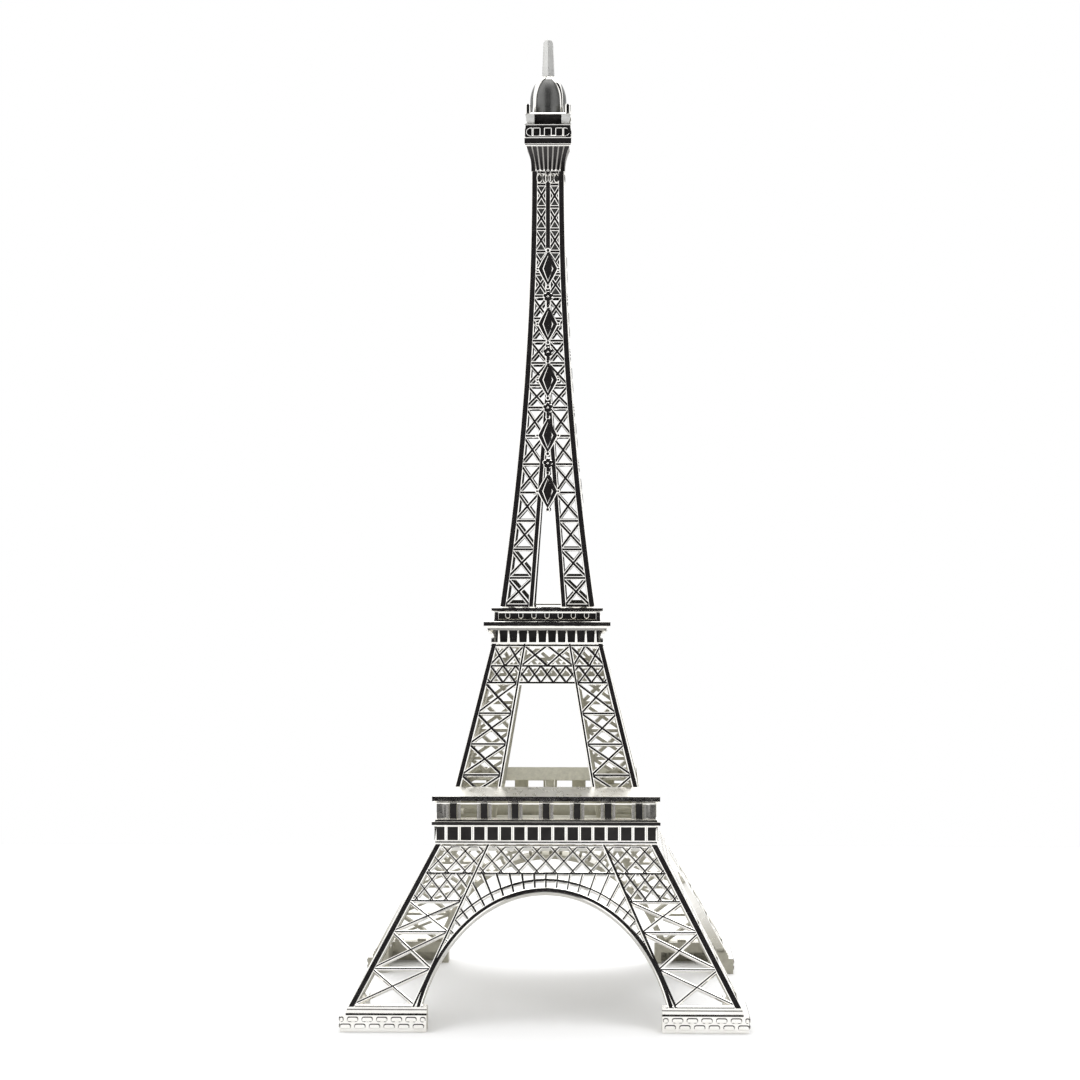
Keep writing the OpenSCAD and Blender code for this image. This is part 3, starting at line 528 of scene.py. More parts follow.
def plated_metal(name, bright=BRIGHT, dull=DULL, back=BACK, gloss=(0.08, 0.16), grain=0.003,
                 metallic=1.0, brushed=0.0):
    """Silver plate over a casting: slight tarnish, uneven gloss, ripple and casting grain.

    bright and dull are the colours of the outside; back is the colour of faces that look in
    towards the axis, a painted shade (a painted light where a lit colour is given), and those
    faces are also less metallic and rougher. gloss is (lowest, highest) roughness, grain the
    height of the fine grain in mm and brushed the roughness added on surfaces that look up."""
    material = bpy.data.materials.new(name)
    material.use_nodes = True
    tree = material.node_tree
    shader = tree.nodes["Principled BSDF"].inputs
    outside = ramp(tree, noise(tree, 90, 6, 0.6), [(0.35, bright), (0.75, dull)])
    # The colour of faces that look in is painted shade (painted light where a lit back colour is
    # given); these faces are also less metallic and rougher.
    inside = ramp(tree, noise(tree, 700, 4, 0.7), [(0.3, back), (0.7, [0.8 * c for c in back])])
    inside_shade_mask = inward(tree)
    tree.links.new(calculate(tree, "MULTIPLY_ADD", inside_shade_mask, BACK_METALLIC - metallic, metallic),
                   shader["Metallic"])
    tree.links.new(mix_colour(tree, inside_shade_mask, outside, inside), shader["Base Color"])
    patches = map_range(tree, noise(tree, 420, 4, 0.6), 0.3, 0.75, *gloss)
    rough = calculate(tree, "MULTIPLY_ADD", inside_shade_mask, 0.2, patches)
    if brushed:
        upward = node(tree, "SeparateXYZ", surface_normal(tree), out="Z")
        rough = calculate(tree, "ADD", rough, map_range(tree, upward, 0.4, 0.7, 0, brushed))
    tree.links.new(rough, shader["Roughness"])
    ripple = bump(tree, noise(tree, 260, 2), 0.02)
    tree.links.new(bump(tree, noise(tree, 2600, 5, 0.6), grain, ripple), shader["Normal"])
    return material


SILVER = plated_metal("silver_plate")
# The spire's faces that look in get a near-black colour as painted shade; the deck and roof get the
# lit colour there as painted light.
SPIRE_METAL = plated_metal("silver_plate_spire", back=(0.08, 0.077, 0.068))
DECK_METAL = plated_metal("silver_plate_deck", back=LIT_BACK)
ROOF_METAL = plated_metal("silver_plate_roof", back=LIT_BACK, brushed=0.17)
SHADED = plated_metal("silver_plate_shaded", (0.34, 0.33, 0.315), (0.24, 0.23, 0.215),
                      gloss=(0.2, 0.34), grain=0.01)
# Near-black silver: patina with painted shade in the sunk hollows, and painted shade and painted
# dark reflection on the outer flats, bevels and edges where it is laid elsewhere.
PATINA_AND_SHADE = plated_metal("silver_plate_patina_and_painted_shade", (0.06, 0.057, 0.057), (0.03, 0.028, 0.028),
                      gloss=(0.3, 0.45), grain=0.02)
# Dark satin silver as painted shade and painted dark reflection: on the sheet behind the spire's top
# cells and on the dome's petals.
SATIN_PAINTED_SHADE = plated_metal("satin_silver_painted_shade", (0.19, 0.19, 0.185), (0.12, 0.12, 0.117),
                          gloss=(0.34, 0.48), grain=0.012)
MATT = plated_metal("matt_silver", (0.74, 0.74, 0.72), (0.5, 0.5, 0.49), gloss=(0.4, 0.6),
                    grain=0.03, metallic=0.35)
# Material for painted shade deep inside: a dull beige on the sides of the gallery openings and on
# the bars behind the gallery that stands in for shade.
INSIDE_SHADE = plated_metal("silver_painted_inside_shade", (0.8, 0.78, 0.67), (0.66, 0.64, 0.54), LIT_BACK,
                      (0.5, 0.7), 0.02, 0.3)
STEEL = plated_metal("screw_steel", (0.6, 0.6, 0.6), (0.42, 0.42, 0.42), (0.5, 0.5, 0.5),
                     (0.25, 0.4), 0.015)


# ---------------------------------------------------------------- feet

FOOT_ARM = FOOT_HALF - FOOT_INNER
BRICK_H = 5.3
SLAB_HALF = FOOT_HALF - 2.0
STEP = 0.35
STEP_Z = LOWER_Z0 - 0.9
# Top of a painted shade band along the foot of the step
SHADE_BAND_TOP = STEP_Z + 0.35
WALL_T = 2.4
SHELF_W = 7.6
BRICKS = 6
RELIEF = 0.35
BRICK_GAP = 1.0
COURSES = (1.0, 3.2)
COURSE_H = 1.65
FOOT_TENONS = (46.7, 54.8)
LOWER_SLOPE = (LOWER_BOTTOM - LOWER_TOP) / (LOWER_Z1 - LOWER_Z0)
FRAME_T = 3.0
FOOT_TENON_Y = -(LOWER_BOTTOM - FRAME_T * hypot(1, LOWER_SLOPE) / 2)


def swap_arms(mesh):
    """The same shape on the other arm of the front right foot."""
    return moved(mesh, Matrix(((0, -1, 0, 0), (-1, 0, 0, 0), (0, 0, 1, 0), (0, 0, 0, 1))))


def foot_mesh():
    """The front right foot."""
    outer = FOOT_HALF - RELIEF
    arm = [
        plain_box((FOOT_INNER, -outer, 0), (outer, -FOOT_HALF + WALL_T, BRICK_H)),
        plain_box((FOOT_INNER, -outer, 0), (FOOT_INNER + WALL_T, -FOOT_HALF + SHELF_W, BRICK_H)),
        plain_box((FOOT_INNER, -outer, BRICK_H - 1.4), (outer, -FOOT_HALF + SHELF_W, BRICK_H)),
    ]
    wall = bevelled(union(arm + [swap_arms(m) for m in arm]), 0.3)
    slabs = []
    for half, z0, z1, edge in ((SLAB_HALF, BRICK_H - 0.3, STEP_Z, 0.3),
                               (SLAB_HALF - STEP, BRICK_H, LOWER_Z0, 0.2)):
        arm_slab = plain_box((FOOT_INNER, -half, z0), (half, -FOOT_HALF + SHELF_W, z1))
        slabs.append(bevelled(union([arm_slab, swap_arms(arm_slab)]), edge))
    bricks = []
    pitch = FOOT_ARM / BRICKS
    start = FOOT_INNER + 0.2
    for row, z in enumerate(COURSES):
        for i in range(-row, BRICKS):
            x0 = max(start + (i + row / 2) * pitch + BRICK_GAP / 2, start)
            x1 = min(start + (i + 1 + row / 2) * pitch - BRICK_GAP / 2, FOOT_HALF - 0.2)
            outline = rounded(x0, x1, z, z + COURSE_H, min(COURSE_H, x1 - x0) * 0.42)
            bricks.append(raised(outline, outer - 0.5, FOOT_HALF, 0.26, 0.22))
    slots = tenons(FOOT_TENONS, FOOT_TENON_Y, BRICK_H - 2, LOWER_Z0 + 1, 0.05)
    whole = union([wall, *slabs] + bricks + [swap_arms(m) for m in bricks])
    return boolean(whole, slots + [swap_arms(m) for m in slots], "DIFFERENCE")


foot = foot_mesh()
split(foot, SHADE_BAND_TOP)
for k, corner in enumerate(("front_right", "rear_right", "rear_left", "front_left")):
    block = place(f"foot_block_{corner}", turned(foot, k), f"foot_{corner}", SILVER)
    bevels = (0, BRICK_H, FOOT_HALF - RELIEF + 0.02, FOOT_HALF - 0.03)
    # Painted dark reflection on the bricks' upward bevels and painted shade on their sides.
    paint(block, PATINA_AND_SHADE, *bevels, lambda middle, normal: normal.z > 0.25)
    paint(block, SHADED, *bevels, lambda middle, normal: abs(normal.z) < 0.25)
    # A painted shade band along the foot of the step.
    paint(block, SHADED, STEP_Z, SHADE_BAND_TOP, SLAB_HALF - STEP - 0.05)


# ---------------------------------------------------------------- lower stage

LOWER_H = LOWER_Z1 - LOWER_Z0
WEB_T = 1.6
CHAMFER = 0.23
FALL = 0.12
# The arch is an ellipse along the slope, its crown this high above the stage's bottom
ARCH_HALF, ARCH_RISE, ARCH_CROWN = 40.7, 54.8, 38.15
ARCH_W = 1.7
ARCH_GAP = 2.1
# The struts above the arch point at this height along the slope, this many degrees apart
STRUT_CENTRE = -5.4
STRUT_STEP = 4.45


def lower_half(z):
    return LOWER_BOTTOM - (z - LOWER_Z0) * LOWER_SLOPE


def lower_inner(z):
    """Where the inner bar of a leg stands."""
    bottom, top = 41.2, 18.6
    return bottom - (z - LOWER_Z0) * (bottom - top) / LOWER_H


def corner_section(width, depth, chamfer):
    """Section of the bar at a corner: a broad low chamfer outside and a narrow one inside."""
    h = width / 2
    return [(-h - 0.1, -depth), (h + 1, -depth), (h + 1, -chamfer * 0.52), (h, -chamfer * 0.52),
            (h - chamfer, 0), (-h + 0.3, 0), (-h, -0.16)]


def lattice_row(face, first, pitch, count, lean_run, mid, z0, z1, section):
    """Crossing diagonals: they meet at height mid at first, first + pitch and so on."""
    bars = []
    for i in range(count):
        for lean in (-1, 1):
            ends = [(first + pitch * i + lean * (z - mid) * lean_run, z) for z in (z0, z1)]
            bars.append(face_bar(face, ends[0], ends[1], section, 0.3))
    return bars


def arch_bar(face, beside, section, end=109, count=72):
    """A bar that runs beside the arch, at a distance outside its ellipse."""
    up, normal = face.up(LOWER_Z0 + 1), face.normal(LOWER_Z0 + 1)
    foot = face.point(0, LOWER_Z0)
    rings = []
    for i in range(count + 1):
        a = radians(end * (2 * i / count - 1))
        across = Vector((1, 0, 0)) * ARCH_RISE * sin(a) + up * ARCH_HALF * cos(a)
        across.normalize()
        at = foot + Vector((ARCH_HALF * sin(a), 0, 0))
        at += up * (ARCH_CROWN - ARCH_RISE * (1 - cos(a))) + across * beside
        rings.append([at + across * s + normal * n for s, n in section])
    return sweep(rings)


def under_arch(face, beside, depth=5):
    """The block of space under a curve beside the arch, to cut away what crosses it."""
    return arch_bar(face, beside - 25, [(0, -depth), (25, -depth), (25, 1), (0, 1)], 109)


def lower_face_mesh():
    face = Face(lower_half)
    stretch = hypot(1, LOWER_SLOPE)
    rib = bar_section(1.02, FRAME_T, CHAMFER, FALL)
    lattice = bar_section(0.92, WEB_T, CHAMFER, FALL, 0.1)
    fine = bar_section(0.86, WEB_T, 0.22, 0.115, 0.1)
    corner_w = 2.2
    rails = [LOWER_Z0 + share * LOWER_H for share in (0, 0.232, 0.457, 0.648)]
    girder_z = LOWER_Z0 + 0.82 * LOWER_H

    def leg(share, z):
        """A point of a leg: 0 on its inner bar, 1 on the middle of its corner bar."""
        inside, outside = lower_inner(z), lower_half(z) - corner_w / 2
        return (inside + (outside - inside) * share, z)

    half = [edge_bar(face, corner_w, corner_section(corner_w, FRAME_T, 0.24), LOWER_Z0, LOWER_Z1)]
    half.append(face_bar(face, leg(0, LOWER_Z0), leg(0, LOWER_Z1), rib, 2))
    half.append(face_bar(face, (lower_inner(LOWER_Z0) - 3, LOWER_Z0 + 0.4),
                         (LOWER_BOTTOM - 1, LOWER_Z0 + 0.4),
                         bar_section(1, FRAME_T, 0.42, 0.25)))
    for k in range(3):
        z0, z1 = rails[k] + (0.7 if k == 0 else 0), rails[k + 1]
        half += crosses(face, (leg(0, z0), leg(1, z0), leg(0, z1), leg(1, z1)), lattice)
        half.append(face_bar(face, leg(0, z1), leg(1, z1), lattice))
    small = lattice_row(face, 20, 4.72, 8, 2.36 / 2.75, 41.95, rails[3], girder_z, fine)
    field = [leg(0, rails[3] - 0.2), leg(0, girder_z + 0.2), leg(1, girder_z + 0.2),
             leg(1, rails[3] - 0.2)]
    half.append(clip_to_field(face, small, field))
    bars = half + [mirrored(m) for m in half]

    edge = lower_half(girder_z) - 1
    bars.append(face_bar(face, (-edge, girder_z), (edge, girder_z), lattice))
    bars.append(face_bar(face, (-LOWER_TOP, LOWER_Z1 - 0.5), (LOWER_TOP, LOWER_Z1 - 0.5),
                         bar_section(1.1, FRAME_T, 0.48, 0.3)))
    step = 2.89
    girder = lattice_row(face, -16 * step, 2 * step, 17, 1, girder_z + 3.6, girder_z,
                         LOWER_Z1 - 0.3, fine)
    field = [(-edge, girder_z - 0.1), (1 - LOWER_TOP, LOWER_Z1 - 0.3),
             (LOWER_TOP - 1, LOWER_Z1 - 0.3), (edge, girder_z - 0.1)]
    bars.append(clip_to_field(face, girder, field))

    heavy = bar_section(ARCH_W, FRAME_T, 0.34, 0.17)
    bars.append(arch_bar(face, ARCH_W / 2, heavy))
    ring = [arch_bar(face, ARCH_W + ARCH_GAP + 0.45, bar_section(1, WEB_T, 0.24, 0.12, 0.1))]
    up, normal = face.up(LOWER_Z0 + 1), face.normal(LOWER_Z0 + 1)
    centre = face.point(0, LOWER_Z0) + up * STRUT_CENTRE
    for i in range(-11, 12):
        a = radians(i * STRUT_STEP)
        out = Vector((1, 0, 0)) * sin(a) + up * cos(a)
        across = out.cross(normal)
        ends = (centre + out * 30, centre + out * 62)
        ring.append(sweep([[o + across * s + normal * n for s, n in fine] for o in ends]))
    inner = [(x * lower_inner(z), z) for x, z in
             ((-1, LOWER_Z0), (-1, girder_z), (1, girder_z), (1, LOWER_Z0))]
    ring = clip_to_field(face, ring, inner)
    bars.append(boolean(ring, [under_arch(face, ARCH_W / 2)], "DIFFERENCE"))

    pegs = tenons([s * x for s in (-1, 1) for x in FOOT_TENONS], FOOT_TENON_Y, BRICK_H - 1.4,
                  LOWER_Z0 + 0.5)
    pegs += tenons((-24, -8, 8, 24), -(LOWER_TOP - FRAME_T * stretch / 2), LOWER_Z1 - 1,
                   LOWER_Z1 + FLOOR_T)
    return finish_face(bars, LOWER_Z0, LOWER_Z1, pegs)


lower = lower_face_mesh()
for k, side in enumerate(SIDES):
    place(f"lower_casting_{side}", turned(lower, k), f"lower_face_{side}", SILVER)


# ---------------------------------------------------------------- first floor

PANELS = 17
PANEL_DEPTH = 0.6
PANEL_Z0 = LOWER_Z1 + 1.3
PANEL_Z1 = LOWER_Z1 + 5.6
CORNICE_Z = GALLERY_Z - 1.2


def frieze_mesh():
    """Square ring with sunk panels between ridges, and the cornice."""
    h = FRIEZE_HALF
    ring = square_ring([
        (h - 5.5, LOWER_Z1), (h - 0.15, LOWER_Z1), (h, LOWER_Z1 + 0.42), (h - 0.25, LOWER_Z1 + 0.47),
        (h - 0.25, LOWER_Z1 + 0.9), (h - 0.14, LOWER_Z1 + 0.92), (h, PANEL_Z0 - 0.04),
        (h - 0.04, PANEL_Z0), (h - PANEL_DEPTH, PANEL_Z0 + 0.02),
        (h - PANEL_DEPTH, PANEL_Z1 - 0.02),
        (h - 0.2, PANEL_Z1), (h, CORNICE_Z), (CORNICE_HALF - 0.1, CORNICE_Z + 0.01),
        (CORNICE_HALF, CORNICE_Z + 0.08), (CORNICE_HALF, GALLERY_Z - 0.08),
        (CORNICE_HALF - 0.1, GALLERY_Z), (h - 5.5, GALLERY_Z), (h - 5.5, GALLERY_Z - 1),
        (h - 1.8, GALLERY_Z - 1), (h - 1.8, LOWER_Z1 + 1), (h - 5.5, LOWER_Z1 + 1),
    ])
    pitch = 2 * (h + 0.55) / PANELS
    ridge = [(-0.45, -h + 0.7), (-0.45, -h + 0.22), (-0.06, -h + 0.01), (0.06, -h + 0.01),
             (0.45, -h + 0.22), (0.45, -h + 0.7)]
    posts = [upright((i - PANELS / 2) * pitch, ridge, PANEL_Z0 - 0.1, PANEL_Z1 + 0.1)
             for i in range(1, PANELS)]
    corner = [(-0.3, -h + 0.7), (-0.3, -h + 0.17), (0, -h), (0.02, -h + 0.7)]
    posts.append(upright(h - 0.02, corner, PANEL_Z0 - 0.1, PANEL_Z1 + 0.1))
    posts.append(mirrored(posts[-1]))
    return union([ring] + four_sides(posts))


SILL_Z = MIDDLE_Z0
HEADER_Z = ROOF_Z - 0.5
EDGE_Z = GALLERY_Z + 0.45
WALL = 1.5


def gallery_mesh():
    """Floor plate, fluted pilasters, curved corner panels, sill and header."""
    h = GALLERY_HALF
    plate = square_ring([
        (MIDDLE_BOTTOM - 4.4, GALLERY_Z), (h + 0.5, GALLERY_Z), (h + 0.45, EDGE_Z),
        (h - 0.1, GALLERY_Z + 0.9), (h - 0.2, MIDDLE_Z0), (MIDDLE_BOTTOM - 4.4, MIDDLE_Z0),
    ])
    header = square_ring([
        (h - WALL, HEADER_Z), (h - 0.15, HEADER_Z), (h, ROOF_Z), (h - WALL, ROOF_Z)])
    shaft = [(-2.35, -h + WALL), (-2.35, -h + 0.12)]
    for i in range(3):
        shaft += [(-2.17 + 0.38 * i, -h), (-1.98 + 0.38 * i, -h + 0.12)]
    shaft += [(-1.16, -h - 0.2), (-1.08, -h - 0.3)]
    shaft += [(-x, y) for x, y in reversed(shaft)]
    pilasters = [upright(i * 10, shaft, SILL_Z - 0.2, HEADER_Z + 0.1) for i in range(-3, 4)]
    curve = [(h - 0.02, -h + WALL), (h - 0.02, -h + 0.01)]
    for i in range(9):
        a = radians(20 * i / 8)
        curve.append((h - 0.1 - 3.2 * i / 8, -h + 0.01 + 3.2 * (1 - cos(a)) / sin(radians(20)) / 2))
    curve.append((h - 3.4, -h + WALL))
    corners = [upright(0, curve, SILL_Z - 0.2, HEADER_Z + 0.1)]
    corners.append(mirrored(corners[0]))
    return union([plate, header] + four_sides(pilasters + corners))


frieze = place("frieze_ring", frieze_mesh(), "first_floor_frieze", DECK_METAL)
# Dark in the sunk panels: patina with painted shade.
paint(frieze, PATINA_AND_SHADE, PANEL_Z0, PANEL_Z1, FRIEZE_HALF - PANEL_DEPTH - 0.03,
      FRIEZE_HALF - PANEL_DEPTH + 0.03)
# Painted dark reflection on the cornice's outer face.
paint(frieze, PATINA_AND_SHADE, CORNICE_Z + 0.05, GALLERY_Z - 0.05, CORNICE_HALF - 0.06)
gallery = place("gallery_ring", gallery_mesh(), "first_floor_gallery", DECK_METAL)
paint(gallery, SHADED, SILL_Z, HEADER_Z, 0, GALLERY_HALF + 0.02)
# Painted dark reflection on the pilasters' outer cores.
paint(gallery, PATINA_AND_SHADE, SILL_Z, HEADER_Z, GALLERY_HALF + 0.25)
# Painted shade on the sides, sill and header of the openings.
paint(gallery, INSIDE_SHADE, SILL_Z - 0.1, HEADER_Z + 0.1, 0, GALLERY_HALF + 0.1,
      lambda middle, normal: outward(middle, normal) < 0.3)
# Painted dark reflection along the outer edge of the floor plate.
paint(gallery, PATINA_AND_SHADE, 0, EDGE_Z, GALLERY_HALF + 0.4)


# ---------------------------------------------------------------- middle stage

MIDDLE_T = 2.4


def middle_half(z):
    return MIDDLE_BOTTOM - (z - MIDDLE_Z0) * MIDDLE_SLOPE


def middle_inner(z):
    return 7.4 + (MIDDLE_Z1 - z) * 0.1725


def middle_face_mesh():
    face = Face(middle_half)
    rib = bar_section(1.1, MIDDLE_T, 0.25, 0.13)
    lattice = bar_section(1.03, WEB_T, 0.21, 0.115, 0.05)
    fine = bar_section(0.92, WEB_T, 0.19, 0.105, 0.05)
    corner_w = 1.9
    cross_z, truss_z, cell = MIDDLE_Z1 - 7.1, MIDDLE_Z1 - 12.5, 9.85

    def leg(share, z):
        return (middle_inner(z) + share * (middle_half(z) - 1 - middle_inner(z)), z)

    half = [edge_bar(face, corner_w, corner_section(corner_w, MIDDLE_T, 0.22), MIDDLE_Z0,
                     MIDDLE_Z1)]
    half.append(face_bar(face, leg(0, MIDDLE_Z0), leg(0, MIDDLE_Z1), rib, 2))
    half.append(face_bar(face, leg(0, MIDDLE_Z0 + 0.45), leg(1, MIDDLE_Z0 + 0.45), rib))
    for a, b in ((0, 0.5), (0.5, 1)):
        half += crosses(face, (leg(a, cross_z), leg(b, cross_z), leg(a, MIDDLE_Z1 - 0.5),
                               leg(b, MIDDLE_Z1 - 0.5)), lattice)
    for i in range(4):
        high_z = truss_z - i * cell
        low_z = high_z - cell
        half += crosses(face, (leg(0, low_z), leg(1, low_z), leg(0, high_z), leg(1, high_z)),
                        lattice)
        half.append(face_bar(face, leg(0, low_z), leg(1, low_z), lattice))
    half.append(face_bar(face, (0, MIDDLE_Z1 - 0.5), leg(0, cross_z), lattice, 0.3))
    half.append(face_bar(face, (0, cross_z), leg(0, MIDDLE_Z1 - 0.5), lattice, 0.3))
    bars = half + [mirrored(m) for m in half]
    for z in (cross_z, truss_z):
        edge = middle_half(z) - 1
        bars.append(face_bar(face, (-edge, z), (edge, z), lattice))
    bars.append(face_bar(face, (-MIDDLE_TOP, MIDDLE_Z1 - 0.5), (MIDDLE_TOP, MIDDLE_Z1 - 0.5),
                         bar_section(1, MIDDLE_T, 0.25, 0.125)))
    step = 2.07
    small = lattice_row(face, -10 * step, 2 * step, 11, 2 * step / (cross_z - truss_z),
                        (cross_z + truss_z) / 2, truss_z, cross_z, fine)
    edges = [middle_half(z) - 1 for z in (truss_z, cross_z)]
    field = [(-edges[0], truss_z), (-edges[1], cross_z), (edges[1], cross_z), (edges[0], truss_z)]
    bars.append(clip_to_field(face, small, field))
    stretch = hypot(1, MIDDLE_SLOPE)
    pegs = tenons((-26, -21, 21, 26), -(MIDDLE_BOTTOM - MIDDLE_T * stretch / 2), GALLERY_Z,
                  MIDDLE_Z0 + 0.5)
    pegs += tenons((-11, 11), -(MIDDLE_TOP - MIDDLE_T * stretch / 2), MIDDLE_Z1 - 0.8,
                   MIDDLE_Z1 + FLOOR_T)
    return finish_face(bars, MIDDLE_Z0, MIDDLE_Z1, pegs)


HIDDEN_Z = ROOF_Z - 1
middle = middle_face_mesh()
split(middle, HIDDEN_Z)
for k, side in enumerate(SIDES):
    casting = place(f"middle_casting_{side}", turned(middle, k), f"middle_face_{side}", SILVER)
    # Painted shade on the bars below the gallery roof, seen through its openings.
    paint(casting, INSIDE_SHADE, 0, HIDDEN_Z)


# ---------------------------------------------------------------- second floor

BAY_Z0, BAY_Z1 = MIDDLE_Z1 + 0.6, MIDDLE_Z1 + 4.5
BAY_BACK = MIDDLE_TOP - 1.3
SMALL_BACK = SMALL_HALF - 0.5


def corbel_mesh():
    """Square ring under the slab with eleven tapered brackets a side."""
    h, z0 = MIDDLE_TOP, MIDDLE_Z1
    ring = square_ring([
        (h - 4, z0), (h - 0.15, z0), (h, BAY_Z0 - 0.05), (h - 0.1, BAY_Z0),
        (BAY_BACK, BAY_Z0 + 0.02), (BAY_BACK, BAY_Z1 - 0.02), (h + 0.8, BAY_Z1),
        (DECK_HALF - 1.4, BAY_Z1 + 0.05), (DECK_HALF - 1.15, BAY_Z1 + 0.8),
        (DECK_HALF - 0.9, DECK_Z), (8, DECK_Z), (8, BAY_Z1), (BAY_BACK - 1.2, BAY_Z1),
        (BAY_BACK - 1.2, z0 + 1), (h - 4, z0 + 1),
    ])
    brackets = []
    for i in range(-5, 6):
        rings = []
        for s in range(9):
            z = BAY_Z0 - 0.02 + (BAY_Z1 - BAY_Z0 + 0.06) * s / 8
            curve = max(0.0, (z - BAY_Z1 + 2.2) / 2.2)
            front = h + 2.2 * (1 - sqrt(max(0.0, 1 - min(curve, 0.9) ** 2)))
            wide = 0.4 - 0.2 * s / 8
            rings.append([(x + i * 3.18, -y, z) for x, y in (
                (-wide, BAY_BACK - 0.3), (-wide, front - 0.55 * wide), (-0.03, front),
                (0.03, front), (wide, front - 0.55 * wide), (wide, BAY_BACK - 0.3))])
        brackets.append(sweep(rings))
    slots = tenons((-11, 11), -(h - MIDDLE_T * hypot(1, MIDDLE_SLOPE) / 2), z0 - 1, z0 + 2, 0.05)
    ring = boolean(ring, four_sides(slots), "DIFFERENCE")
    corner = sweep([
        [(x, -y, z) for x, y in ((o - 0.9, o), (o, o), (o, o - 0.9),
                                 (BAY_BACK - 0.5, BAY_BACK - 0.5))]
        for o, z in ((h, BAY_Z0 - 0.02), (h, BAY_Z1 - 2.2), (h + 0.3, BAY_Z1 - 1.1),
                     (h + 1.0, BAY_Z1 - 0.3), (h + 1.5, BAY_Z1 + 0.05))])
    return union([ring, *four_sides(brackets), *four_sides([corner])])


def small_gallery_mesh():
    """Low wall with a sunk band and seven U-shaped rims a side."""
    h, z0, z1 = SMALL_HALF, SMALL_Z, UPPER_Z
    ring = square_ring([
        (8, z0), (h, z0), (h, z0 + 0.5), (h - 0.12, z0 + 0.6), (SMALL_BACK, z0 + 0.62),
        (SMALL_BACK, z1 - 0.72), (h - 0.12, z1 - 0.7), (h, z1 - 0.2), (h - 0.1, z1),
        (h - 1.6, z1), (h - 1.6, z0 + 1), (8, z0 + 1),
    ])
    section = [(-0.13, 0), (-0.12, 0.2), (0, 0.3), (0.12, 0.2), (0.13, 0)]
    rims = []
    for i in range(-3, 4):
        path = [(-0.72, 2.35), (-0.72, 1.45)]
        path += [(-0.72 * cos(radians(a)), 1.45 - 0.72 * sin(radians(a)))
                 for a in range(20, 180, 20)]
        path += [(0.72, 1.45), (0.72, 2.35)]
        rings = []
        for j, (x, z) in enumerate(path):
            before, after = path[max(j - 1, 0)], path[min(j + 1, len(path) - 1)]
            run = Vector((after[0] - before[0], 0, after[1] - before[1])).normalized()
            across = run.cross(Vector((0, 1, 0)))
            rings.append([Vector((i * 4.33 + x, -h + 0.55 - n, z0 + 0.15 + z)) + across * s
                          for s, n in section])
        rims.append(sweep(rings))
    corner = bevelled(plain_box((h - 1.5, -h, z0 + 0.3), (h, -h + 1.5, z1 - 0.3)), 0.12)
    return union([ring, *four_sides(rims), *four_sides([corner])])


def deck_places():
    return [(x, y) for x in (-12, 12) for y in (-12, 12)]


def slab_mesh():
    h = DECK_HALF
    slab = square_ring([(8, DECK_Z), (h - 0.1, DECK_Z), (h, DECK_Z + 0.08), (h, SMALL_Z - 0.12),
                        (h - 0.2, SMALL_Z), (8, SMALL_Z)])
    return boolean(slab, [cylinder(x, y, 1.1, DECK_Z - 1, SMALL_Z + 1) for x, y in deck_places()],
                   "DIFFERENCE")


def upper_deck_mesh():
    h, z0 = UPPER_HALF, UPPER_Z
    deck = square_ring([(5, z0), (h - 0.08, z0), (h, z0 + 0.08), (h, z0 + 1.05),
                        (h - 0.7, SPIRE_Z0), (5, SPIRE_Z0)])
    bosses = [cylinder(x, y, 2, SMALL_Z + 1, z0 + 0.3) for x, y in deck_places()]
    slots = four_sides(tenons((-9.5, 9.5), -(SPIRE_BOTTOM - 0.8), z0 - 1, SPIRE_Z0 + 1, 0.05))
    holes = [cylinder(x, y, 1, SMALL_Z, z0 + 0.9) for x, y in deck_places()]
    return boolean(union([deck, *bosses]), slots + holes, "DIFFERENCE")


corbels = place("corbel_ring", corbel_mesh(), "second_floor_corbels", SILVER)
# Dark in the bays: patina with painted shade.
paint(corbels, PATINA_AND_SHADE, BAY_Z0, BAY_Z1 - 0.1, BAY_BACK - 0.03, BAY_BACK + 0.03)
paint(corbels, SHADED, BAY_Z1, BAY_Z1 + 0.8, MIDDLE_TOP + 0.9)
place("deck_slab", slab_mesh(), "second_floor_slab", SILVER)
small = place("small_gallery_ring", small_gallery_mesh(), "second_floor_gallery", SILVER)
# Dark in the sunk band: patina with painted shade.
paint(small, PATINA_AND_SHADE, SMALL_Z + 0.65, UPPER_Z - 0.75, SMALL_BACK - 0.03, SMALL_BACK + 0.03)
place("deck_plate", upper_deck_mesh(), "upper_deck", SILVER)


# ---------------------------------------------------------------- spire

SPIRE_H = SPIRE_Z1 - SPIRE_Z0
SPIRE_T = 1.5
CELLS = [9.4] * 7 + [7.42] * 10 + [4.4]
SPIRE_RAILS = [SPIRE_Z0 + sum(CELLS[:i]) for i in range(len(CELLS) + 1)]
MEET_Z = SPIRE_RAILS[8]
BLIND_Z = SPIRE_RAILS[12]
# The sheet behind the top cells lies between these depths; its face gets painted shade
SHEET = (0.9, 1.5)
LOZENGES, LOZENGE_Z, LOZENGE_STEP = 5, SPIRE_Z0 + 38, 18.5


def spire_half(z):
    share = min(1.0, max(0.0, 1 - (z - SPIRE_Z0) / SPIRE_H))
    return SPIRE_TOP + (SPIRE_BOTTOM - SPIRE_TOP) * share ** 2


def spire_inner(z):
    return 5.4 * max(0.0, 1 - (z - SPIRE_Z0) / (MEET_Z - SPIRE_Z0))


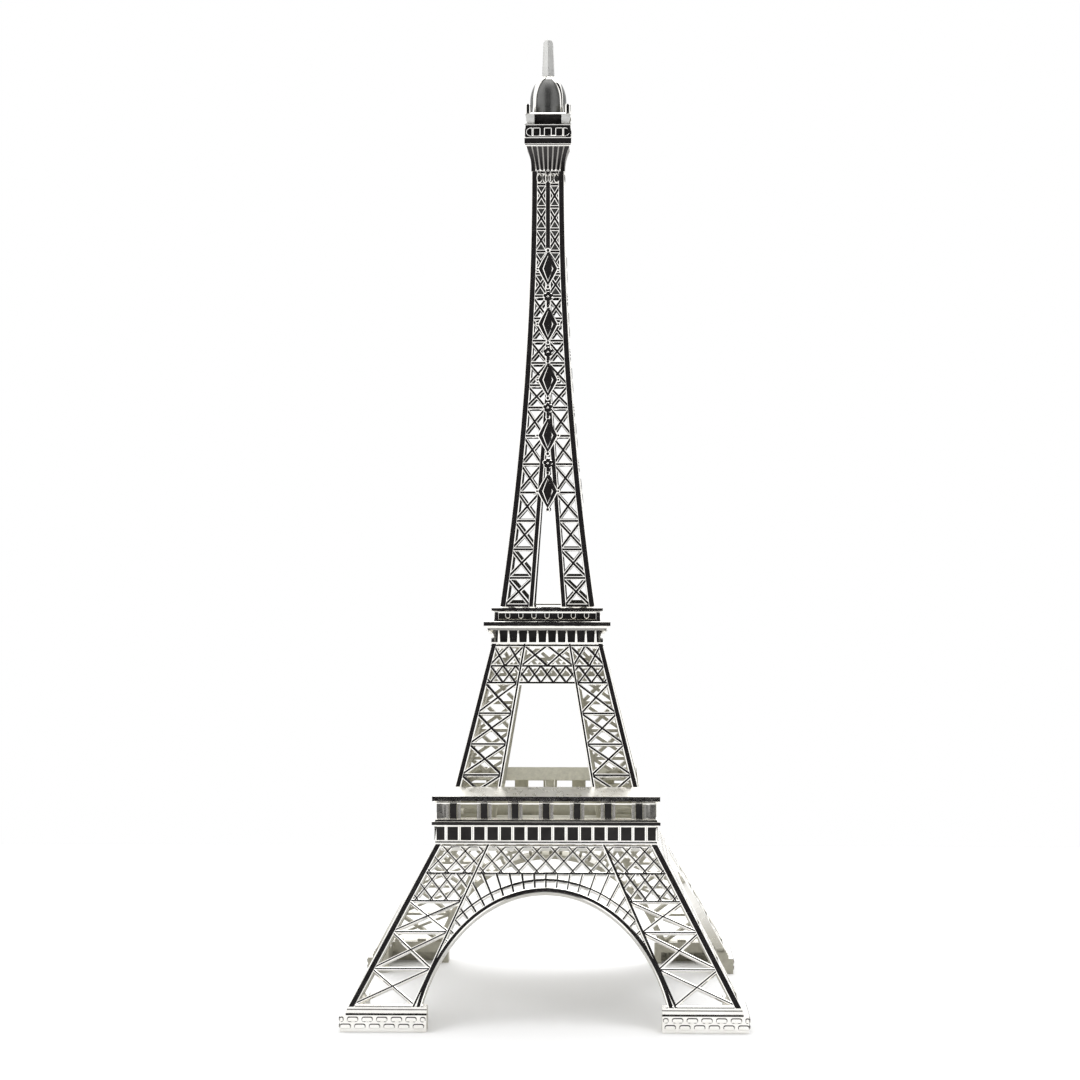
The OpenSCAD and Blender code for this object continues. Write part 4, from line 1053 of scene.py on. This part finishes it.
def spire_face_mesh():
    face = Face(spire_half)
    bar_w = 2.1
    rib = bar_section(1.7, SPIRE_T, 0.2, 0.11)
    stem = bar_section(1.8, SPIRE_T, 0.2, 0.11)
    web = bar_section(1.1, SPIRE_T - 0.2, 0.2, 0.11, 0.05)
    corner = corner_section(bar_w, SPIRE_T, 0.16)
    half = [edge_bar(face, bar_w, corner, SPIRE_Z0, SPIRE_Z1, 4.0)]
    middle_bars = []
    for low_z, high_z in zip(SPIRE_RAILS[:-1], SPIRE_RAILS[1:]):
        inside = [spire_inner(z) for z in (low_z, high_z)]
        outside = [spire_half(z) - bar_w / 2 for z in (low_z, high_z)]
        if high_z < SPIRE_Z1 - 1:
            half += crosses(face, ((inside[0], low_z), (outside[0], low_z), (inside[1], high_z),
                                   (outside[1], high_z)), web)
        if inside[0] > 0:
            half.append(face_bar(face, (inside[0], low_z), (inside[1], high_z), rib, 0.1))
        else:
            middle_bars.append(face_bar(face, (0, low_z), (0, high_z), stem, 0.1))
        floor = low_z + (0.4 if low_z == SPIRE_Z0 else 0)
        half.append(face_bar(face, (inside[0], floor), (outside[0], floor), web, 0.1))
    bars = half + [mirrored(m) for m in half] + middle_bars
    neck_z = (SPIRE_RAILS[-2] + SPIRE_Z1) / 2
    for i in range(4):
        loop = [(1.9 * (i - 1.5) + 0.92 * x, 1.75 * s) for x, s in circle(0, 0, 1)]
        bars.append(frame_round(face, neck_z, loop, 0.5, 0.2))
    top = SPIRE_Z1 - 0.4
    bars.append(face_bar(face, (-spire_half(top), top), (spire_half(top), top), web))
    levels = [BLIND_Z + (SPIRE_Z1 - BLIND_Z) * i / 10 for i in range(11)]
    bars.append(sweep([[(x * (spire_half(z) - 0.4), out - spire_half(z), z) for x, out in (
        (-1, SHEET[0]), (1, SHEET[0]), (1, SHEET[1]), (-1, SHEET[1]))] for z in levels]))
    for i in range(LOZENGES):
        z = LOZENGE_Z + LOZENGE_STEP * i
        bars += lozenge(face, z)
        if i < LOZENGES - 1:
            bars += rosette(face, z + LOZENGE_STEP / 2)
    pegs = tenons((-9.5, 9.5), -(SPIRE_BOTTOM - 0.8), UPPER_Z, SPIRE_Z0 + 0.5)
    return finish_face(bars, SPIRE_Z0, SPIRE_Z1, pegs)


def on_face(face, z, points, n):
    """Points (across, along the face) about the centre line at height z, raised by n."""
    return [face.point(0, z) + Vector((x, 0, 0)) + face.up(z) * s + face.normal(z) * n
            for x, s in points]


def domed(face, z, outline, bevel, rise=0.0):
    """A raised plaque on a face whose bevelled edge starts just above the bars."""
    return sweep([on_face(face, z, outline, -1), on_face(face, z, outline, 0.08 + rise),
                  on_face(face, z, inset(outline, bevel), 0.25 + rise)])


def frame_round(face, z, outline, width, bevel):
    """A raised rim along an outline, bevelled outside and inside."""
    levels = [(0, -1), (0, 0.08), (bevel, 0.25), (width - bevel, 0.25), (width, 0.05), (width, -1)]
    shapes = [on_face(face, z, inset(outline, by), n) for by, n in levels]
    return loop_sweep([[shape[i] for shape in shapes] for i in range(len(outline))])


def lozenge(face, z):
    """A plain pointed lozenge in two steps with a ball at each point."""
    outline = [(0, -6.1), (1.9, -3), (3.5, 0), (1.9, 3), (0, 6.1), (-1.9, 3), (-3.5, 0), (-1.9, -3)]
    parts = [domed(face, z, outline, 0.36), domed(face, z, inset(outline, 1.75), 0.3, 0.17)]
    parts += [domed(face, z, circle(x, s, r), 0.3) for x, s, r in (
        (0, 6.1, 0.8), (0, -6.1, 0.8), (3.5, 0, 0.65), (-3.5, 0, 0.65))]
    return parts


def rosette(face, z):
    """A flower of five petals and the short stem under it."""
    parts = [domed(face, z, circle(-0.95 * sin(2 * pi * i / 5), 0.95 * cos(2 * pi * i / 5), 0.84),
                   0.2) for i in range(5)]
    return parts + [domed(face, z, [(-0.65, -3), (0.65, -3), (0.65, 0), (-0.65, 0)], 0.2)]


def on_sheet(middle, normal):
    return abs(reach(middle) - spire_half(middle.z) + SHEET[0]) < 0.12


spire = spire_face_mesh()
for k, side in enumerate(SIDES):
    casting = place(f"spire_casting_{side}", turned(spire, k), f"spire_face_{side}", SPIRE_METAL)
    # Painted shade on the sheet behind the top cells.
    paint(casting, SATIN_PAINTED_SHADE, BLIND_Z, SPIRE_Z1, chosen=on_sheet)


# ---------------------------------------------------------------- crown

CAPITAL_LOW = SPIRE_TOP + 0.15
CAPITAL_TOP = 7.45
CAPITAL_H = CABIN_Z - SPIRE_Z1
NECK_H = 1.0
CAPITAL_RUN = CAPITAL_TOP - CAPITAL_LOW
CAPITAL_CURVE = ((CAPITAL_H - NECK_H) ** 2 + CAPITAL_RUN ** 2) / (2 * CAPITAL_RUN)
CAPITAL_LEDGE = CABIN_HALF - 0.2
CORNER_RIB = 1.2
LEDGE_Z = CABIN_Z - 0.62
UPPER_CORE = 4.6


def capital_half(z, cut=0.0):
    """Half width of the capital: an upright neck, then a hollow curve out to the cabin."""
    rise = max(0.0, z - SPIRE_Z1 - NECK_H)
    out = CAPITAL_CURVE - sqrt(max(0.0, CAPITAL_CURVE ** 2 - rise ** 2))
    return min(CAPITAL_LOW + out, CAPITAL_TOP) - cut


def capital_mesh():
    levels = [SPIRE_Z1 + CAPITAL_H * i / 14 for i in range(15)]
    core = square_tower([(capital_half(z, 0.4), z) for z in levels])
    spigot = SPIRE_TOP - SPIRE_T - 0.25
    parts = [core, square_tower([(spigot, SPIRE_Z1 - 4), (spigot, SPIRE_Z1 + 1)]),
             square_tower([(CAPITAL_LEDGE - 0.3, CABIN_Z - 0.6), (CAPITAL_LEDGE, CABIN_Z - 0.25),
                           (CAPITAL_LEDGE, CABIN_Z)])]
    ribs = []
    for i in range(7):
        share = i / 3 - 1
        rings = []
        for z in levels:
            out = capital_half(z)
            spread = (z - SPIRE_Z1) / CAPITAL_H
            x = share * ((CAPITAL_LOW - 1.7) * (1 - spread) + (CAPITAL_TOP - 2) * spread)
            rings.append([(x + a, -out + n, z) for a, n in (
                (-0.25, 0.6), (-0.23, 0.12), (0, 0), (0.23, 0.12), (0.25, 0.6))])
        ribs.append(sweep(rings))
    corner = sweep([[(out - a, b - out, z) for a, b in (
        (CORNER_RIB, 0), (0.12, 0), (0, 0.12), (0, CORNER_RIB), (CORNER_RIB, CORNER_RIB))]
        for out, z in ((capital_half(z), z) for z in levels)])
    neck = [soft_box((x * 1.8 - 0.5, -CAPITAL_LOW, SPIRE_Z1 + 0.02),
                     (x * 1.8 + 0.5, -CAPITAL_LOW + 0.8, SPIRE_Z1 + 0.55), 0.18)
            for x in range(-2, 3)]
    return union(parts + four_sides(ribs + neck + [corner]))


def on_corner_rib(middle):
    inner = capital_half(middle.z) - CORNER_RIB - 0.05
    return min(abs(middle.x), abs(middle.y)) > inner


def between_ribs(middle, normal):
    return reach(middle) < capital_half(middle.z) - 0.3 or on_corner_rib(middle)


def in_slot(middle, normal):
    across, out = sorted((CABIN_HALF - abs(middle.x), CABIN_HALF - abs(middle.y)), reverse=True)
    return 0.75 < across < 1.55 and 0.15 < out < 0.95


def cabin_mesh():
    """The cabin with three square windows and two round-ended ones a side."""
    h, z0, z1 = CABIN_HALF, CABIN_Z, UPPER_CABIN_Z
    core = square_tower([
        (h - 0.12, z0), (h, z0 + 0.15), (h, z0 + 2.0), (h - 0.12, z0 + 2.2),
        (h - 0.3, z0 + 2.25), (h - 0.3, z1 - 0.55), (h - 0.1, z1 - 0.5), (h, z1 - 0.35),
        (h, z1 - 0.12), (h - 0.14, z1)])
    window_z, window_h = z0 + 2.9, 2.2
    frames, holes = [], []
    for i in (-1, 0, 1):
        x = i * 3.75
        frames.append(raised(rounded(x - 1.25, x + 1.25, window_z - 0.3, window_z + window_h + 0.3,
                                     0.25), h - 0.6, h, 0.2, 0.12))
        holes.append(raised(rounded(x - 0.85, x + 0.85, window_z + 0.12, window_z + window_h - 0.12,
                                    0.15), h - 0.75, h + 0.2, 0.01, 0.01))
    for s in (-1, 1):
        end = [(-0.45, 0), (0.2, 0), (0.75, 0.3), (1.05, 0.75), (1.1, 1.1), (1.05, 1.45),
               (0.75, 1.9), (0.2, 2.2), (-0.45, 2.2)]
        outline = [(s * (5.9 + x), window_z + z) for x, z in end]
        frames.append(raised(inset(outline, -0.3), h - 0.6, h, 0.2, 0.12))
        holes.append(raised(inset(outline, 0.12), h - 0.75, h + 0.2, 0.01, 0.01))
    frames.append(raised([(6.4, window_z), (-6.4, window_z), (-6.0, window_z - 0.35),
                          (6.0, window_z - 0.35)], h - 0.6, h, 0.12, 0.1))
    body = union([core] + four_sides(frames))
    return boolean(body, four_sides(holes), "DIFFERENCE")


def upper_cabin_mesh():
    """A recessed core with corner blocks, a rim and four slotted turrets."""
    h, z0, z1 = CABIN_HALF, UPPER_CABIN_Z, DOME_Z
    parts = [square_tower([(UPPER_CORE, z0), (UPPER_CORE, z1)]),
             square_tower([(h - 0.2, z1 - 0.5), (h - 0.1, z1 - 0.4), (h - 0.45, z1)])]
    block = sweep([[(x, y, z) for x, y in ((4.5, -h + o), (h - o, -h + o), (h - o, -4.5),
                                           (4.5, -4.5))]
                   for o, z in ((1.1, z0), (0.95, z0 + 0.2), (0.2, z1 - 0.6), (0.2, z1 - 0.3))])
    low_x, low_y = h - 2.2, -h + 0.1
    turret = bevelled(plain_box((low_x, low_y, z1 - 0.9), (h - 0.1, low_y + 2.1, z1 + 3)), 0.68, 4)
    turret = boolean(turret, [plain_box((0, -10, z1 - 0.2), (10, 0, z1 + 4))], "INTERSECT")
    slots = [plain_box((low_x + 0.7, low_y - 1, z1 + 0.6), (low_x + 1.4, low_y + 0.8, z1 + 2.4)),
             plain_box((low_x + 1.3, low_y + 0.7, z1 + 0.6), (low_x + 3, low_y + 1.4, z1 + 2.4))]
    turret = boolean(turret, slots, "DIFFERENCE")
    return union(parts + four_sides([block, turret]))


DOME_H = MAST_Z - DOME_Z
# The dome stands upright to its shoulder, over the first share of the steps up its outline
SHOULDER, STRAIGHT = 4.4, 0.2


def dome_level(share):
    """(radius share, height) of the dome's outline, share from 0 at its foot to 1 on top."""
    if share < STRAIGHT:
        return 1.0, SHOULDER * share / STRAIGHT
    a = (share - STRAIGHT) / (1 - STRAIGHT) * pi / 2
    return cos(a), SHOULDER + (DOME_H - SHOULDER) * sin(a)


def dome_meshes():
    """The petals with a fine seam up each, and the broad ribs between them."""
    r = DOME_R - 0.02
    rings, steps, count = [], 24, 64
    for s in range(steps):
        share, z = dome_level(s / steps)
        ring = [Vector((*p, DOME_Z + z)) for p in circle(0, 0, share * r, count)]
        for i in range(0, count, count // 4):
            ring[i].xy *= 1 - 0.06 / (share * r)
        rings.append(ring)
    rings.append([(*p, MAST_Z - 0.02) for p in circle(0, 0, 0.3, count)])
    petals = sweep(rings)
    ribs = []
    for k in (0, 1):
        rings = []
        for s in range(-steps, steps + 1):
            share, z = dome_level(1 - abs(s) / steps)
            side = 1 if s > 0 else -1
            slant = max(0.0, (1 - abs(s) / steps - STRAIGHT) / (1 - STRAIGHT)) * pi / 2
            out = Vector((side * cos(slant), 0, sin(slant)))
            at = Vector((side * share * r, 0, DOME_Z + z))
            flare = 0.5 * max(0.0, 1 - z / SHOULDER) ** 2
            wide = 1 + 1.1 * (z / DOME_H) ** 3
            rings.append([at + out * (n + flare) + Vector((0, a * wide, 0)) for a, n in (
                (-0.75, -1.1), (-0.75, 0.18), (-0.55, 0.36), (0, 0.4), (0.55, 0.36), (0.75, 0.18),
                (0.75, -1.1))])
        rib = sweep(rings)
        rib.transform(Matrix.Rotation(pi / 4 + k * pi / 2, 4, "Z"))
        ribs.append(rib)
    collar = sweep([[(*p, z) for p in circle(0, 0, w, 32)] for w, z in (
        (3.1, MAST_Z - 1.2), (2.75, MAST_Z - 0.8), (2.4, MAST_Z - 0.4), (2, MAST_Z))])
    whole = boolean(union(ribs + [collar]),
                    [plain_box((-9, -9, DOME_Z), (9, 9, MAST_Z - 0.01))], "INTERSECT")
    return petals, whole


def mast_mesh():
    """A tapered square mast standing corner-on, with beads up each corner."""
    height = TOP_Z - MAST_Z

    def ring(r, z):
        chamfer = 0.12
        points = []
        for k in range(4):
            c = Vector((r * cos(k * pi / 2), r * sin(k * pi / 2)))
            t = Vector((-sin(k * pi / 2), cos(k * pi / 2)))
            points += [c * (1 - chamfer / r) - t * chamfer, c * (1 - chamfer / r) + t * chamfer]
        return [(*p, z) for p in points]

    rings = [ring(2.0, MAST_Z - 0.02), ring(1.48, TOP_Z - 0.75), ring(1.3, TOP_Z - 0.3),
             ring(0.8, TOP_Z)]
    parts = [sweep(rings)]
    count = 22
    for i in range(count):
        z = MAST_Z + 0.5 + (height - 1.6) * i / (count - 1)
        r = 1.98 - 0.5 * (z - MAST_Z) / height
        for k in range(4):
            x, y = r * cos(k * pi / 2), r * sin(k * pi / 2)
            parts.append(soft_box((x - 0.13, y - 0.13, z - 0.17), (x + 0.13, y + 0.13, z + 0.17),
                                  0.08))
    parts.append(cylinder(0, 0, 0.8, MAST_Z - 4, MAST_Z + 1))
    return union(parts)


petals, ribs = dome_meshes()
capital = place("capital", capital_mesh(), "spire_capital", SHADED)
# Painted dark reflection between the capital's ribs and on its corner ribs.
paint(capital, PATINA_AND_SHADE, SPIRE_Z1, LEDGE_Z, chosen=between_ribs)
paint(capital, SILVER, LEDGE_Z, CABIN_Z + 1)
paint(capital, SILVER, SPIRE_Z1, SPIRE_Z1 + 0.6, CAPITAL_LOW - 0.2,
      chosen=lambda middle, normal: not on_corner_rib(middle))
cabin = place("cabin", cabin_mesh(), "top_cabin", SILVER)
# Painted shade on the cabin's recessed body and its window openings.
paint(cabin, PATINA_AND_SHADE, CABIN_Z + 2.3, UPPER_CABIN_Z - 0.6, 0, CABIN_HALF - 0.2)
roof = place("cabin_roof", upper_cabin_mesh(), "upper_cabin", SILVER)
paint(roof, MATT, 0, DOME_Z - 0.5, UPPER_CORE + 0.02)
# Painted shade on the recessed core between the corner blocks and in the turrets' slots.
paint(roof, PATINA_AND_SHADE, 0, MAST_Z, -1, UPPER_CORE + 0.02)
paint(roof, PATINA_AND_SHADE, DOME_Z + 0.55, MAST_Z, chosen=in_slot)
# The petals' dark colour is a painted dark reflection.
place("dome_petals", petals, "dome", SATIN_PAINTED_SHADE, 40)
place("dome_ribs", ribs, "dome", SILVER, 40)
place("mast_pole", mast_mesh(), "mast", MATT)


# ---------------------------------------------------------------- floor, light and camera

def add_floor():
    """A plain pale sheet under the tower."""
    size = 0.36
    mesh = bpy.data.meshes.new("floor")
    mesh.from_pydata([(-size, -size, 0), (size, -size, 0), (size, size, 0), (-size, size, 0)], [],
                     [(0, 1, 2, 3)])
    floor = bpy.data.objects.new("floor", mesh)
    bpy.context.scene.collection.objects.link(floor)
    material = bpy.data.materials.new("floor_paper")
    material.use_nodes = True
    shader = material.node_tree.nodes["Principled BSDF"].inputs
    shader["Base Color"].default_value = (0.97, 0.97, 0.97, 1)
    shader["Roughness"].default_value = 0.9
    shader["Specular IOR Level"].default_value = 0.1
    mesh.materials.append(material)


def add_world():
    """A white studio with a dark gap ahead of the front and another ahead of the right side, so
    that bright metal shows its flats dark and its bevels white. The camera sees plain white."""
    world = bpy.data.worlds.new("studio")
    bpy.context.scene.world = world
    world.use_nodes = True
    tree = world.node_tree
    tree.nodes.clear()

    def step(value, start, end):
        """0 up to start and 1 from end on; the ends may be given falling."""
        return map_range(tree, value, start, end)

    def both(a, b):
        return calculate(tree, "MULTIPLY", a, b)

    direction = node(tree, "TexCoord", out="Generated")
    x, y, z = (node(tree, "SeparateXYZ", direction, out=axis) for axis in "XYZ")
    wide_x, wide_y = (calculate(tree, "ABSOLUTE", value) for value in (x, y))
    sideways = step(calculate(tree, "MINIMUM", wide_x, wide_y), 0.37, 0.31)
    towards = step(calculate(tree, "SUBTRACT", x, y), 0, 0.1)
    gap = both(both(sideways, towards), both(step(z, 0.88, 0.84), step(z, -0.3, -0.24)))
    # Greyer towards the four corners of the room, below head height
    askew = calculate(tree, "ABSOLUTE", calculate(tree, "SUBTRACT", wide_x, wide_y))
    corner = both(step(askew, 0.14, 0.08), step(z, 0.5, 0.4))
    walls = mix_colour(tree, corner, (1.0, 1.0, 1.0), (0.5, 0.5, 0.5))
    room = mix_colour(tree, gap, walls, (0.012, 0.011, 0.012))
    lit = node(tree, "Background", room, 1.3)
    seen = node(tree, "Background", (1, 1, 1, 1), 1.0)
    view = node(tree, "LightPath", out="Is Camera Ray")
    node_out = tree.nodes.new("ShaderNodeOutputWorld")
    tree.links.new(node(tree, "MixShader", view, lit, seen), node_out.inputs["Surface"])


def add_light():
    """One large soft light overhead, a little to the back and the right."""
    data = bpy.data.lights.new("softbox", "AREA")
    data.shape = "SQUARE"
    data.size = 0.9
    data.energy = 5
    light = bpy.data.objects.new("softbox", data)
    light.location = (0.15, 0.3, 1.2)
    aim = Vector((0, 0, 0.05)) - light.location
    light.rotation_euler = aim.to_track_quat("-Z", "Y").to_euler()
    bpy.context.scene.collection.objects.link(light)


def add_camera():
    """A short telephoto at half the tower's height, a little to the right of its axis."""
    data = bpy.data.cameras.new("camera")
    data.sensor_width = 36
    data.lens = 88.33
    data.clip_start = 0.05
    camera = bpy.data.objects.new("camera", data)
    camera.location = Vector((17.7, -889, 171.9)) * MM
    pan, tilt = radians(1.32), radians(-1.23)
    camera.rotation_euler = (pi / 2 + tilt, 0, pan)
    bpy.context.scene.collection.objects.link(camera)
    bpy.context.scene.camera = camera


add_floor()
add_world()
add_light()
add_camera()
bpy.context.scene.view_settings.view_transform = "Standard"


def soften(part, width):
    """Joins a CAD node's vertices and rounds its edges a little."""
    weld = part.modifiers.new("weld", "WELD")
    weld.merge_threshold = 1e-6
    bevel = part.modifiers.new("bevel", "BEVEL")
    bevel.width = width * MM
    bevel.segments = 2
    bevel.limit_method = "ANGLE"
    bevel.angle_limit = radians(25)


for name, part in frame["nodes"].items():
    part.data.materials.clear()
    part.data.materials.append(STEEL if name.endswith(("screws", "screw")) else ROOF_METAL)
    soften(part, 0.12)
